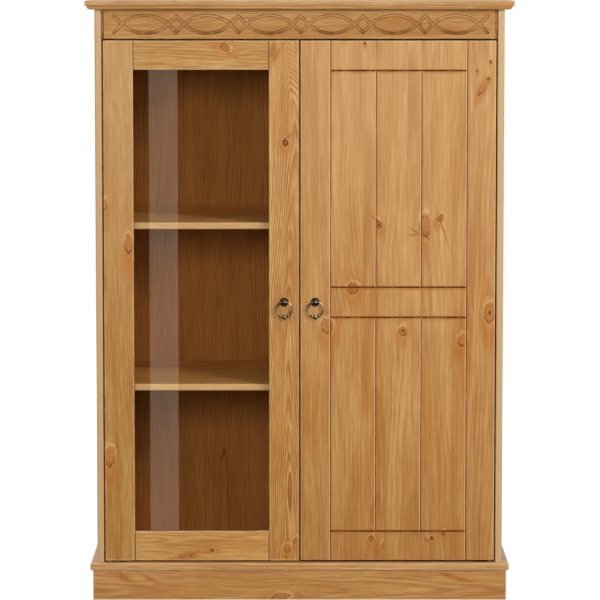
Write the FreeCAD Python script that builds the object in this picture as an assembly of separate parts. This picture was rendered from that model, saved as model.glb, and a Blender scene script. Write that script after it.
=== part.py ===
import FreeCAD, Part
import math
import os

# Two-door display cabinet in pine: a glazed door on the left, a grooved board door on the right.
# Millimetres. The origin is on the floor under the middle of the top board.
# +X is to the right seen from the front, the front faces -Y, +Z is up.

os.makedirs("parts", exist_ok=True)
Vector = FreeCAD.Vector

# Overall size, over the moulded top board
cabinet_width = 1000.0
cabinet_depth = 400.0
cabinet_height = 1412.0

# Boards of the carcass
top_thickness = 21.0
side_thickness = 16.0
partition_thickness = 16.0
base_thickness = 18.0
shelf_thickness = 16.0
plinth_thickness = 18.0
rear_rail_thickness = 18.0
back_thickness = 4.0
top_overhang = 22.0
base_overhang = 16.0
plinth_height = 71.0
plinth_inset = 6.0
rear_rail_height = 60.0
rebate_width = 8.0

# Edges of the boards
nose_height = 12.5
nose_radius = 4.0
nose_step = 0.5
base_edge_radius = 4.0
side_edge_radius = 4.0
plinth_edge_radius = 2.0
shelf_edge_radius = 3.0
soft_edge_radius = 1.5

# Frieze board and its carving
frieze_height = 69.0
frieze_thickness = 18.0
frieze_end_gap = 1.0
frieze_edge_radius = 2.0
frieze_rebate_width = 3.5
frieze_rebate_depth = 4.0
carving_length = 870.0
carving_shift = 2.5
carving_repeats = 6
lens_half_height = 20.8
diamond_half_width = 18.2
diamond_half_height = 19.5
groove_mouth = 7.6
groove_floor = 5.0
groove_depth = 2.0

# Doors and the gaps round them
door_thickness = 18.0
door_recess = 2.0
door_side_gap = 3.0
door_top_gap = 3.0
door_base_gap = 3.5
door_meeting_gap = 3.0
door_edge_radius = 2.5
door_stop_gap = 2.0

# Glazed door frame
stile_width = 70.0
bottom_rail_width = 70.0
top_rail_width = 68.0
tenon_length = 25.0
tenon_thickness = 6.0
tenon_width = 48.0
glass_thickness = 4.0
glass_lip_depth = 8.0
glass_pocket = 9.0
glass_play = 1.5
bead_width = 8.0
bead_chamfer = 2.5

# Grooves of the board door
board_margin = 70.0
board_outer_margin = 68.0
board_count = 3
middle_rail_width = 71.0
board_groove_width = 4.6
board_groove_depth = 2.4

# Shelves, their back strips, pins and pin holes
upper_shelf_top = 892.0
lower_shelf_top = 510.0
shelf_front_setback = 28.0
shelf_back_gap = 4.0
shelf_end_gap = 1.2
strip_height = 15.0
strip_thickness = 10.0
pin_diameter = 5.0
pin_hole_depth = 6.5
pin_depth = 6.0
pin_collar_diameter = 8.0
pin_collar_thickness = 1.0
pin_tongue_length = 9.0
pin_tongue_width = 6.0
pin_hole_pitch = 32.0
pin_holes_each_way = 1
pin_front_setback = 40.0
pin_rear_setback = 46.0

# Pivot hinges hidden in the door edges
pivot_from_edge = 10.0
pivot_from_face = 8.0
pivot_diameter = 6.0
pivot_reach = 12.0
pivot_clearance = 0.05
pivot_plate_length = 46.0
pivot_plate_width = 14.0
pivot_plate_thickness = 2.0
pivot_plate_end = 6.5
bush_diameter = 10.0
bush_length = 14.0
bush_flange_diameter = 14.0
bush_flange_thickness = 1.0
washer_gap = 0.3

# Wood screws of the pivot plates and the catches
screw_diameter = 3.0
screw_head_diameter = 6.0
screw_head_height = 1.6
screw_length = 14.0
screw_spacing = 14.0
first_screw_offset = 18.0

# Dowels
dowel_diameter = 8.0
dowel_length = 30.0
dowel_short_end = 10.0
dowel_end_play = 0.5
dowel_row_inset = 50.0

# Magnetic catches and bumpers
catch_width = 14.0
catch_height = 46.0
catch_depth = 16.0
catch_drop = 36.0
catch_air_gap = 0.3
magnet_height = 26.0
magnet_width = 8.0
magnet_depth = 10.0
catch_screw_inset = 5.0
catch_screw_length = 6.0
strike_thickness = 1.5
strike_margin = 3.0
bumper_diameter = 5.0
bumper_thickness = 1.7
bumper_end_distance = 200.0

# Ring pulls
pull_from_edge = 35.0
pull_above_middle = 0.8
rosette_diameter = 20.8
rosette_rim_height = 1.4
rosette_dome_height = 3.6
rosette_dome_diameter = 15.0
ball_diameter = 10.6
ball_standoff = 8.5
neck_diameter = 6.4
pull_bore_diameter = 5.0
pull_screw_diameter = 4.0
pull_screw_grip = 5.0
pull_screw_head_diameter = 8.0
pull_screw_head_height = 2.2
ring_radius = 18.0
ring_rod_diameter = 4.0
ring_drop = 16.5
ring_bend_radius = 5.0
ring_end_diameter = 3.0
ring_end_gap = 1.2
ring_hole_clearance = 0.08
large_bead_diameter = 9.4
small_bead_diameter = 6.6
bead_tip_length = 7.6
small_bead_turn = 33.0

# Glue blocks
plinth_block_width = 28.0
plinth_block_height = 58.0
frieze_block_width = 18.0
frieze_block_length = 60.0
frieze_block_places_share = (-0.3, 0.3)

# General
hole_play = 0.1
overrun = 1.0

# Levels and faces worked out from the sizes above
rear = cabinet_depth / 2
front = -cabinet_depth / 2 + top_overhang
side_outer = cabinet_width / 2 - top_overhang
side_inner = side_outer - side_thickness
partition_face = partition_thickness / 2
base_bottom = plinth_height
base_top = base_bottom + base_thickness
top_underside = cabinet_height - top_thickness
back_face = rear - back_thickness
base_edge = side_outer + base_overhang
base_front = front - base_overhang
frieze_bottom = top_underside - frieze_height
frieze_front = front + door_recess
door_front = front + door_recess
door_back = door_front + door_thickness
door_bottom = base_top + door_base_gap
door_top = frieze_bottom - door_top_gap
door_outer = side_inner - door_side_gap
door_inner = door_meeting_gap / 2
partition_front = door_back + door_stop_gap
shelf_front = front + shelf_front_setback
strip_back = back_face - shelf_back_gap
shelf_back = strip_back - strip_thickness
pivot_x = door_outer - pivot_from_edge
pivot_y = door_front + pivot_from_face
pull_x = door_inner + pull_from_edge
pull_z = (door_bottom + door_top) / 2 + pull_above_middle
ring_axis_y = door_front - ball_standoff
shelf_tops = (lower_shelf_top, upper_shelf_top)

pieces = {}


def block(x_low, x_high, y_low, y_high, z_low, z_high):
    size = (x_high - x_low, y_high - y_low, z_high - z_low)
    return Part.makeBox(size[0], size[1], size[2], Vector(x_low, y_low, z_low))


def rod(start, along, diameter, length):
    return Part.makeCylinder(diameter / 2, length, start, along)


def mirrored(shape):
    return shape.mirror(Vector(0, 0, 0), Vector(1, 0, 0))


def turned(outline, centre, along):
    # A solid of revolution. The outline holds (radius, height) pairs, the height along the axis.
    side = Vector(1, 0, 0)
    if abs(along.x) > abs(along.z) and abs(along.x) > abs(along.y):
        side = Vector(0, 1, 0)
    corners = [centre + side * radius + along * height for radius, height in outline]
    face = Part.Face(Part.makePolygon(corners + [corners[0]]))
    return face.revolve(centre, along, 360)


def edges_along(shape, axis, **places):
    # Straight edges parallel to an axis, kept where they lie at the given places.
    kept = []
    for edge in shape.Edges:
        bounds = edge.BoundBox
        spans = {"x": bounds.XLength, "y": bounds.YLength, "z": bounds.ZLength}
        middle = {"x": bounds.Center.x, "y": bounds.Center.y, "z": bounds.Center.z}
        straight = all(abs(spans[name]) < hole_play for name in spans if name != axis)
        there = all(min(abs(middle[name] - place) for place in wanted) < hole_play
                    for name, wanted in places.items())
        if straight and there:
            kept.append(edge)
    return kept


def joined(shapes):
    whole = shapes[0].multiFuse(shapes[1:])
    return whole.removeSplitter()


# Top board: one moulding runs along the front and both ends

def moulding(place, edge, inwards):
    # Edge profile from the top face down to the underside, inwards from the board's edge.
    bend = math.sqrt(0.5)
    low = nose_height - nose_radius
    ovolo = top_thickness - nose_height
    inner = nose_radius + nose_step
    points = {
        "top": (nose_radius, 0),
        "top_bend": (nose_radius * (1 - bend), nose_radius * (1 - bend)),
        "nose_top": (0, nose_radius),
        "nose_low": (0, low),
        "low_bend": (nose_radius * (1 - bend), low + nose_radius * bend),
        "step": (nose_radius, nose_height),
        "ovolo_top": (inner, nose_height),
        "ovolo_bend": (inner + ovolo * (1 - bend), nose_height + ovolo * bend),
        "underside": (inner + ovolo, top_thickness),
    }
    at = {name: place(edge + inwards * across, cabinet_height - down)
          for name, (across, down) in points.items()}
    return [
        Part.Arc(at["top"], at["top_bend"], at["nose_top"]).toShape(),
        Part.makeLine(at["nose_top"], at["nose_low"]),
        Part.Arc(at["nose_low"], at["low_bend"], at["step"]).toShape(),
        Part.makeLine(at["step"], at["ovolo_top"]),
        Part.Arc(at["ovolo_top"], at["ovolo_bend"], at["underside"]).toShape(),
    ], at["top"], at["underside"]


def top_board():
    half = cabinet_width / 2

    def on_end(x, z):
        return Vector(x, -rear, z)

    def on_side(y, z):
        return Vector(-half, y, z)

    left, left_top, left_low = moulding(on_end, -half, 1)
    right, right_top, right_low = moulding(on_end, half, -1)
    across = left + [Part.makeLine(left_low, right_low)] + right + [Part.makeLine(right_top, left_top)]
    across_face = Part.Face(Part.Wire(Part.__sortEdges__(across)))
    lengthways = across_face.extrude(Vector(0, cabinet_depth, 0))
    nose, nose_top, nose_low = moulding(on_side, -rear, 1)
    rear_top = on_side(rear, cabinet_height)
    rear_low = on_side(rear, top_underside)
    deep = nose + [Part.makeLine(nose_low, rear_low), Part.makeLine(rear_low, rear_top),
                   Part.makeLine(rear_top, nose_top)]
    deep_face = Part.Face(Part.Wire(Part.__sortEdges__(deep)))
    sideways = deep_face.extrude(Vector(cabinet_width, 0, 0))
    board = lengthways.common(sideways)
    return board.cut(dowel_holes(dowel_columns(), top_underside, 1))


# Dowels: upright rows through the top and base joints, level ones at the frieze board's ends

def dowel_columns():
    ys = (front + dowel_row_inset, (front + back_face) / 2, back_face - dowel_row_inset)
    x_side = side_outer - side_thickness / 2
    return [(x, y) for x in (-x_side, 0, x_side) for y in ys]


def dowel_holes(places, joint, short_side):
    # Holes on both sides of a level joint; short_side is +1 where the thin board is above it.
    short = dowel_short_end + dowel_end_play
    long = dowel_length - dowel_short_end + dowel_end_play
    low = joint - (long if short_side > 0 else short)
    holes = [rod(Vector(x, y, low), Vector(0, 0, 1), dowel_diameter + 2 * hole_play, short + long)
             for x, y in places]
    return holes


def upright_dowels(joint, short_side):
    low = joint - (dowel_length - dowel_short_end if short_side > 0 else dowel_short_end)
    return [rod(Vector(x, y, low), Vector(0, 0, 1), dowel_diameter, dowel_length)
            for x, y in dowel_columns()]


def frieze_dowel_places():
    # The short end sits in the side panel, the long end in the frieze board.
    start = side_inner + dowel_short_end
    middle_y = frieze_front + frieze_thickness / 2
    quarter = frieze_height / 4
    return [Vector(start, middle_y, frieze_bottom + part * quarter) for part in (1, 3)]


def frieze_dowels(play):
    made = []
    for place in frieze_dowel_places():
        start = place + Vector(play * dowel_end_play, 0, 0)
        length = dowel_length + 2 * play * dowel_end_play
        right = rod(start, Vector(-1, 0, 0), dowel_diameter + 2 * play * hole_play, length)
        made += [right, mirrored(right)]
    return made


# Side panels, partition and base

def shelf_pin_ys():
    return (shelf_front + pin_front_setback, back_face - pin_rear_setback)


def pin_height(shelf_top):
    return shelf_top - shelf_thickness - pin_diameter / 2


def pin_holes(face, outwards):
    # Short rows of blind holes above and below each shelf, bored into a panel from its face.
    holes = []
    for y in shelf_pin_ys():
        for top in shelf_tops:
            for step in range(-pin_holes_each_way, pin_holes_each_way + 1):
                z = pin_height(top) + step * pin_hole_pitch
                start = Vector(face, y, z)
                holes.append(rod(start, Vector(outwards, 0, 0), pin_diameter + 2 * hole_play, pin_hole_depth))
    return holes


def left_side_panel():
    panel = block(-side_outer, -side_inner, front, rear, base_top, top_underside)
    arrises = edges_along(panel, "z", y=(front,))
    panel = panel.makeFillet(side_edge_radius, arrises)
    rebate = block(-side_inner - rebate_width, -side_inner + overrun, back_face, rear + overrun,
                   base_top - overrun, top_underside + overrun)
    cuts = [rebate] + pin_holes(-side_inner, -1) + frieze_dowels(1)
    cuts += dowel_holes(dowel_columns(), top_underside, 1)
    cuts += dowel_holes(dowel_columns(), base_top, -1)
    return panel.cut(cuts)


def centre_partition():
    panel = block(-partition_face, partition_face, partition_front, back_face, base_top, top_underside)
    arrises = edges_along(panel, "z", y=(partition_front,))
    panel = panel.makeFillet(soft_edge_radius, arrises)
    notch = block(-partition_face - overrun, partition_face + overrun, back_face - rear_rail_thickness,
                  back_face + overrun, top_underside - rear_rail_height, top_underside + overrun)
    cuts = [notch] + pin_holes(-partition_face, 1) + pin_holes(partition_face, -1)
    cuts += dowel_holes(dowel_columns()[:-1], top_underside, 1)
    cuts += dowel_holes(dowel_columns(), base_top, -1)
    cuts += catch_screws(1)
    return panel.cut(cuts)


def base_board():
    board = block(-base_edge, base_edge, base_front, rear, base_bottom, base_top)
    rounded = edges_along(board, "x", y=(base_front,))
    rounded += edges_along(board, "y", x=(-base_edge, base_edge))
    board = board.makeFillet(base_edge_radius, rounded)
    rebate = block(-side_inner - rebate_width, side_inner + rebate_width, back_face, rear + overrun,
                   base_top - rebate_width, base_top + overrun)
    cuts = [rebate] + dowel_holes(dowel_columns(), base_top, -1)
    for sign in (-1, 1):
        cuts += pivot_recess(sign, base_top, -1)
    return board.cut(cuts)


def back_panel():
    # The left panel; its inner edge meets the other panel behind the partition.
    return block(-side_inner - rebate_width + hole_play, -hole_play, back_face, rear,
                 base_top - rebate_width + hole_play, top_underside - hole_play)


def top_rear_rail():
    return block(-side_inner, side_inner, back_face - rear_rail_thickness, back_face,
                 top_underside - rear_rail_height, top_underside)


# Plinth

def plinth_front():
    outer = base_edge - plinth_inset
    y_front = base_front + plinth_inset
    board = block(-outer, outer, y_front, y_front + plinth_thickness, 0, plinth_height)
    arrises = edges_along(board, "z", y=(y_front,), x=(-outer, outer))
    arrises += edges_along(board, "x", y=(y_front,), z=(0,))
    return board.makeFillet(plinth_edge_radius, arrises)


def plinth_left_side():
    outer = base_edge - plinth_inset
    y_front = base_front + plinth_inset + plinth_thickness
    return block(-outer, -outer + plinth_thickness, y_front, back_face, 0, plinth_height)


def plinth_rear_rail():
    inner = base_edge - plinth_inset - plinth_thickness
    return block(-inner, inner, back_face - plinth_thickness, back_face, 0, plinth_height)


def plinth_corner_blocks():
    # Three-cornered blocks glued into the plinth's corners and under the base board.
    inner = base_edge - plinth_inset - plinth_thickness
    y_front = base_front + plinth_inset + plinth_thickness
    y_rear = back_face - plinth_thickness
    made = []
    for x, x_in in ((-inner, 1), (inner, -1)):
        for y, y_in in ((y_front, 1), (y_rear, -1)):
            low = plinth_height - plinth_block_height
            corner = Vector(x, y, low)
            along_x = corner + Vector(x_in * plinth_block_width, 0, 0)
            along_y = corner + Vector(0, y_in * plinth_block_width, 0)
            face = Part.Face(Part.makePolygon([corner, along_x, along_y, corner]))
            made.append(face.extrude(Vector(0, 0, plinth_block_height)))
    return made


# Frieze board with the interlaced carving

def groove_section(place, across):
    # Trapezium with its mouth just outside the face, at a point on the groove's centre line.
    half = groove_mouth / 2
    floor = groove_floor / 2
    corners = [(-half, -overrun), (-half, 0), (-floor, groove_depth), (floor, groove_depth),
               (half, 0), (half, -overrun)]
    points = [place + across * s + Vector(0, depth, 0) for s, depth in corners]
    return Part.Face(Part.makePolygon(points + [points[0]]))


def straight_groove(start, end):
    run = end - start
    along = Vector(run.x, run.y, run.z).normalize()
    across = Vector(along.z, 0, -along.x)
    return groove_section(start, across).extrude(run)


def round_groove_end(place):
    outline = [(0, -overrun), (groove_mouth / 2, -overrun), (groove_mouth / 2, 0),
               (groove_floor / 2, groove_depth), (0, groove_depth)]
    return turned(outline, place, Vector(0, 1, 0))


def lens_groove(left_x, right_x, middle_z, upwards):
    # One arc of a lens, from crossing to crossing.
    half = (right_x - left_x) / 2
    radius = (half * half + lens_half_height * lens_half_height) / (2 * lens_half_height)
    centre = Vector((left_x + right_x) / 2, frieze_front, middle_z + upwards * (lens_half_height - radius))
    start = Vector(left_x, frieze_front, middle_z)
    out = start - centre
    across = Vector(out.x, out.y, out.z).normalize()
    sweep = 2 * math.degrees(math.asin(half / radius))
    return groove_section(start, across).revolve(centre, Vector(0, upwards, 0), sweep)


def carving():
    pitch = carving_length / carving_repeats
    middle_z = frieze_bottom + frieze_height / 2
    cutters = []
    for number in range(carving_repeats + 1):
        x = carving_shift - carving_length / 2 + number * pitch
        tips = [Vector(x, frieze_front, middle_z + up * diamond_half_height) for up in (-1, 1)]
        sides = []
        if number > 0:
            sides.append(-1)
        if number < carving_repeats:
            sides.append(1)
        for sign in sides:
            crossing = Vector(x + sign * diamond_half_width, frieze_front, middle_z)
            cutters += [straight_groove(tip, crossing) for tip in tips]
            cutters.append(round_groove_end(crossing))
        cutters += [round_groove_end(tip) for tip in tips]
        if number < carving_repeats:
            left_x = x + diamond_half_width
            right_x = x + pitch - diamond_half_width
            cutters += [lens_groove(left_x, right_x, middle_z, up) for up in (-1, 1)]
    return cutters


def frieze_board():
    # Each end has a shallow rebate in front, so that a shadow line stands beside the side panel.
    end = side_inner - frieze_end_gap
    face_end = end - frieze_rebate_width
    board = block(-end, end, frieze_front, frieze_front + frieze_thickness, frieze_bottom, top_underside)
    rebates = [block(ends[0], ends[1], frieze_front - overrun, frieze_front + frieze_rebate_depth,
                     frieze_bottom - overrun, top_underside + overrun)
               for ends in ((-end - overrun, -face_end), (face_end, end + overrun))]
    board = board.cut(rebates)
    arrises = edges_along(board, "z", y=(frieze_front,), x=(-face_end, face_end))
    arrises += edges_along(board, "x", y=(frieze_front,))
    board = board.makeFillet(frieze_edge_radius, arrises)
    cuts = frieze_dowels(1)
    for sign in (-1, 1):
        cuts += pivot_recess(sign, frieze_bottom, 1)
    board = board.cut(cuts)
    return board.cut(joined(carving()))


def frieze_glue_blocks():
    made = []
    y = frieze_front + frieze_thickness
    for share in frieze_block_places_share:
        x = share * cabinet_width
        low = top_underside - frieze_block_width
        corner = Vector(x - frieze_block_length / 2, y, top_underside)
        behind = corner + Vector(0, frieze_block_width, 0)
        below = Vector(corner.x, y, low)
        face = Part.Face(Part.makePolygon([corner, behind, below, corner]))
        made.append(face.extrude(Vector(frieze_block_length, 0, 0)))
    return made


# Shelves

def left_shelf(top):
    shelf = block(-side_inner + shelf_end_gap, -partition_face - shelf_end_gap, shelf_front, shelf_back,
                  top - shelf_thickness, top)
    return shelf.makeFillet(shelf_edge_radius, edges_along(shelf, "x", y=(shelf_front,)))


def left_shelf_strips():
    # A strip glued to each shelf's rear edge and standing above it.
    return [block(-side_inner + shelf_end_gap, -partition_face - shelf_end_gap, shelf_back, strip_back,
                  top - shelf_thickness, top + strip_height) for top in shelf_tops]


def shelf_pin(face, y, z, inwards):
    # A stem in the panel, a collar on its face and a flat-topped tongue under the shelf.
    stem = rod(Vector(face - inwards * pin_depth, y, z), Vector(inwards, 0, 0), pin_diameter,
               pin_depth + pin_collar_thickness)
    collar = rod(Vector(face, y, z), Vector(inwards, 0, 0), pin_collar_diameter, pin_collar_thickness)
    ends = sorted((face, face + inwards * pin_tongue_length))
    tongue = block(ends[0], ends[1], y - pin_tongue_width / 2, y + pin_tongue_width / 2,
                   z - pin_diameter / 2, z + pin_diameter / 2)
    return joined([stem, collar, tongue])


def left_shelf_pins():
    return [shelf_pin(face, y, pin_height(top), inwards)
            for face, inwards in ((-side_inner, 1), (-partition_face, -1))
            for y in shelf_pin_ys() for top in shelf_tops]


# Glazed door

def opening_sizes():
    return (-door_outer + stile_width, -door_inner - stile_width, door_bottom + bottom_rail_width,
            door_top - top_rail_width)


def glass_pocket_block():
    x_low, x_high, z_low, z_high = opening_sizes()
    return block(x_low - glass_pocket, x_high + glass_pocket, door_front + glass_lip_depth,
                 door_back + overrun, z_low - glass_pocket, z_high + glass_pocket)


def tenon(play, rail_low, rail_high):
    # The tenons of one rail, as one bar through both stiles' mortises.
    x_low, x_high, z_low, z_high = opening_sizes()
    middle_y = (door_front + door_back) / 2
    middle_z = (rail_low + rail_high) / 2
    reach = tenon_length + play
    return block(x_low - reach, x_high + reach, middle_y - tenon_thickness / 2 - play,
                 middle_y + tenon_thickness / 2 + play, middle_z - tenon_width / 2 - play,
                 middle_z + tenon_width / 2 + play)


def rail_levels():
    return ((door_bottom, door_bottom + bottom_rail_width), (door_top - top_rail_width, door_top))


def door_stile(x_low, x_high):
    stile = block(x_low, x_high, door_front, door_back, door_bottom, door_top)
    stile = stile.makeFillet(door_edge_radius, edges_along(stile, "z", y=(door_front,)))
    cuts = [glass_pocket_block()] + [tenon(hole_play, low, high) for low, high in rail_levels()]
    cuts += pivot_bush_holes() + [pull_bore(), strike_recess()]
    return stile.cut(cuts)


def door_rail(low, high):
    x_low, x_high, z_low, z_high = opening_sizes()
    rail = block(x_low, x_high, door_front, door_back, low, high)
    rail = rail.makeFillet(soft_edge_radius, edges_along(rail, "x", y=(door_front,)))
    rail = rail.cut(glass_pocket_block())
    return joined([rail, tenon(0, low, high)])


def door_glass():
    x_low, x_high, z_low, z_high = opening_sizes()
    reach = glass_pocket - glass_play
    y = door_front + glass_lip_depth
    return block(x_low - reach, x_high + reach, y, y + glass_thickness, z_low - reach, z_high + reach)


def bead(x_low, x_high, z_low, z_high, inner_axis, inner_place):
    y = door_front + glass_lip_depth + glass_thickness
    strip = block(x_low, x_high, y, door_back, z_low, z_high)
    places = {"x" if inner_axis == "z" else "z": (inner_place,), "y": (door_back,)}
    return strip.makeChamfer(bead_chamfer, edges_along(strip, inner_axis, **places))


def glazing_beads():
    x_low, x_high, z_low, z_high = opening_sizes()
    x0, x1 = x_low - glass_pocket, x_high + glass_pocket
    z0, z1 = z_low - glass_pocket, z_high + glass_pocket
    w = bead_width
    return [
        bead(x0, x0 + w, z0, z1, "z", x0 + w),
        bead(x1 - w, x1, z0, z1, "z", x1 - w),
        bead(x0 + w, x1 - w, z0, z0 + w, "x", z0 + w),
        bead(x0 + w, x1 - w, z1 - w, z1, "x", z1 - w),
    ]


# Board door: edge-glued boards with V grooves that draw a frame and planks

def v_groove(start, end):
    run = end - start
    along = Vector(run.x, run.y, run.z).normalize()
    across = Vector(along.z, 0, -along.x)
    half = board_groove_width / 2
    mouth = half * (1 + overrun / board_groove_depth)
    corners = [(-mouth, -overrun), (0, board_groove_depth), (mouth, -overrun)]
    points = [start + across * s + Vector(0, depth, 0) for s, depth in corners]
    return Part.Face(Part.makePolygon(points + [points[0]])).extrude(run)


def board_door():
    panel = block(door_inner, door_outer, door_front, door_back, door_bottom, door_top)
    outline = edges_along(panel, "z", y=(door_front,)) + edges_along(panel, "x", y=(door_front,))
    panel = panel.makeFillet(door_edge_radius, outline)
    inner_x = door_inner + board_margin
    outer_x = door_outer - board_outer_margin
    pitch = (outer_x - inner_x) / board_count
    low_z = door_bottom + board_margin
    high_z = door_top - board_margin
    middle_z = (door_bottom + door_top) / 2
    levels = (low_z, middle_z - middle_rail_width / 2, middle_z + middle_rail_width / 2, high_z)
    grooves = []
    for x in (inner_x, outer_x):
        grooves.append(v_groove(Vector(x, door_front, door_bottom - overrun),
                                Vector(x, door_front, door_top + overrun)))
    for z in levels:
        grooves.append(v_groove(Vector(inner_x, door_front, z), Vector(outer_x, door_front, z)))
    for number in range(1, board_count):
        x = inner_x + number * pitch
        for z_low, z_high in (levels[:2], levels[2:]):
            grooves.append(v_groove(Vector(x, door_front, z_low), Vector(x, door_front, z_high)))
    cuts = [mirrored(hole) for hole in pivot_bush_holes() + [pull_bore(), strike_recess()]]
    return panel.cut(grooves).cut(cuts)


# Pivot hinges: a pin on a plate above and below each door, and flanged bushes in the door's ends

def pivot_point(sign, z):
    return Vector(sign * pivot_x, pivot_y, z)


def screw_xs(sign):
    first = sign * (pivot_x - first_screw_offset)
    return (first, first - sign * screw_spacing)


def pivot_plate_block(sign, seat, into):
    ends = sorted((sign * (pivot_x + pivot_plate_end),
                   sign * (pivot_x + pivot_plate_end - pivot_plate_length)))
    levels = sorted((seat, seat + into * pivot_plate_thickness))
    return block(ends[0], ends[1], pivot_y - pivot_plate_width / 2, pivot_y + pivot_plate_width / 2,
                 levels[0], levels[1])


def plate_screw(x, seat, into, play):
    # Countersunk wood screw driven from the gap into the board.
    shank = (screw_diameter / 2) + play
    head = screw_head_diameter / 2 + play
    outline = [(0, 0), (head, 0), (shank, screw_head_height), (shank, screw_length + play),
               (0, screw_length + play)]
    return turned(outline, Vector(x, pivot_y, seat), Vector(0, 0, into))


def pivot_recess(sign, seat, into):
    return [pivot_plate_block(sign, seat, into)] + [plate_screw(x, seat, into, hole_play)
                                                    for x in screw_xs(sign)]


def pivot_plate(sign, seat, into):
    plate = pivot_plate_block(sign, seat, into)
    plate = plate.cut([plate_screw(x, seat, into, hole_play) for x in screw_xs(sign)])
    gap = door_base_gap if into < 0 else door_top_gap
    start = pivot_point(sign, seat + into * pivot_plate_thickness)
    pin = rod(start, Vector(0, 0, -into), pivot_diameter, pivot_plate_thickness + gap + pivot_reach)
    return joined([plate, pin])


def pivot_screws():
    return [plate_screw(x, seat, into, 0) for sign in (-1, 1)
            for seat, into in ((base_top, -1), (frieze_bottom, 1)) for x in screw_xs(sign)]


def bush_outline(bore, play):
    outer = bush_diameter / 2 + play
    flange = bush_flange_diameter / 2 + play
    return [(bore, 0), (flange, 0), (flange, bush_flange_thickness), (outer, bush_flange_thickness),
            (outer, bush_length + play), (bore, bush_length + play)]


def pivot_bushes():
    bore = pivot_diameter / 2 + pivot_clearance
    return [turned(bush_outline(bore, 0), pivot_point(-1, door_bottom), Vector(0, 0, 1)),
            turned(bush_outline(bore, 0), pivot_point(-1, door_top), Vector(0, 0, -1))]


def pivot_bush_holes():
    return [turned(bush_outline(0, hole_play), pivot_point(-1, door_bottom), Vector(0, 0, 1)),
            turned(bush_outline(0, hole_play), pivot_point(-1, door_top), Vector(0, 0, -1))]


def pivot_washers():
    # Bearing washers that carry the doors' weight above the lower pivot plates.
    height = door_base_gap - washer_gap
    bore = pivot_diameter / 2 + pivot_clearance
    outline = [(bore, 0), (bush_flange_diameter / 2, 0), (bush_flange_diameter / 2, height), (bore, height)]
    left = turned(outline, pivot_point(-1, base_top), Vector(0, 0, 1))
    return [left, mirrored(left)]


# Magnetic catches on the partition, strike plates on the doors, bumpers between them

def catch_z():
    return door_top - catch_drop


def catch_screws(play):
    # Short screws through the catch housings into the partition.
    made = []
    y = partition_front + strike_thickness + catch_depth - catch_screw_inset
    for rise in (-1, 1):
        z = catch_z() + rise * (catch_height / 2 - catch_screw_inset)
        start = Vector(-partition_face - catch_width, y, z)
        shank = screw_diameter / 2 + play * hole_play
        head = screw_head_diameter / 2 + play * hole_play
        deep = catch_width + catch_screw_length
        outline = [(0, 0), (head, 0), (shank, screw_head_height), (shank, deep), (0, deep)]
        left = turned(outline, start, Vector(1, 0, 0))
        made += [left, mirrored(left)]
    return made


def magnetic_catch():
    y = door_back + catch_air_gap
    z = catch_z()
    housing = block(-partition_face - catch_width, -partition_face, partition_front,
                    partition_front + catch_depth, z - catch_height / 2, z + catch_height / 2)
    middle_x = -partition_face - catch_width / 2
    magnet = block(middle_x - magnet_width / 2, middle_x + magnet_width / 2, y,
                   y + magnet_depth, z - magnet_height / 2, z + magnet_height / 2)
    pocket = block(middle_x - magnet_width / 2 - hole_play, middle_x + magnet_width / 2 + hole_play,
                   partition_front - overrun, y + magnet_depth, z - magnet_height / 2 - hole_play,
                   z + magnet_height / 2 + hole_play)
    corners = edges_along(housing, "y", x=(-partition_face - catch_width,))
    housing = housing.makeFillet(soft_edge_radius, corners)
    return [housing.cut([pocket] + catch_screws(1)), magnet]


def strike_block(play):
    z = catch_z()
    high = magnet_height / 2 + strike_margin + play
    wide = magnet_width / 2 + strike_margin + play
    middle_x = -partition_face - catch_width / 2
    return block(middle_x - wide, middle_x + wide, door_back - strike_thickness, door_back + play,
                 z - high, z + high)


def strike_recess():
    return strike_block(hole_play)


def strike_plate():
    return strike_block(0)


def door_bumpers():
    made = []
    for z in (door_bottom + bumper_end_distance, door_top - bumper_end_distance):
        x = (partition_face + door_inner) / 2
        right = rod(Vector(x, partition_front, z), Vector(0, -1, 0), bumper_diameter, bumper_thickness)
        made += [right, mirrored(right)]
    return made


# Ring pull

def pull_point(y):
    return Vector(-pull_x, y, pull_z)


def pull_bore():
    return rod(pull_point(door_front - overrun), Vector(0, 1, 0), pull_bore_diameter,
               door_thickness + 2 * overrun)


def pull_rosette():
    # A turned rose: a thin rim, a hollow ring and a low dome round the stud's neck.
    rim = rosette_diameter / 2
    dome = rosette_dome_diameter / 2
    bore = pull_screw_diameter / 2 + hole_play
    outline = [(bore, 0), (rim, 0), (rim, rosette_rim_height), (dome, rosette_rim_height),
               (dome * math.cos(math.radians(30)), (rosette_rim_height + rosette_dome_height) / 2),
               (neck_diameter / 2, rosette_dome_height), (bore, rosette_dome_height)]
    return turned(outline, pull_point(door_front), Vector(0, -1, 0))


def pull_stud():
    # A ball on a short neck, cross-drilled for the ring's ends and bored from behind for the screw.
    ball = Part.makeSphere(ball_diameter / 2, pull_point(ring_axis_y), Vector(0, -1, 0))
    neck = rod(pull_point(door_front - rosette_dome_height), Vector(0, -1, 0), neck_diameter,
               ball_standoff - rosette_dome_height)
    stud = joined([ball, neck])
    cross = rod(Vector(-pull_x - ball_diameter, ring_axis_y, pull_z), Vector(1, 0, 0),
                ring_end_diameter + 2 * ring_hole_clearance, 2 * ball_diameter)
    socket = rod(pull_point(door_front), Vector(0, -1, 0), pull_screw_diameter + 2 * hole_play,
                 pull_screw_grip + hole_play)
    return stud.cut([cross, socket])


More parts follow.
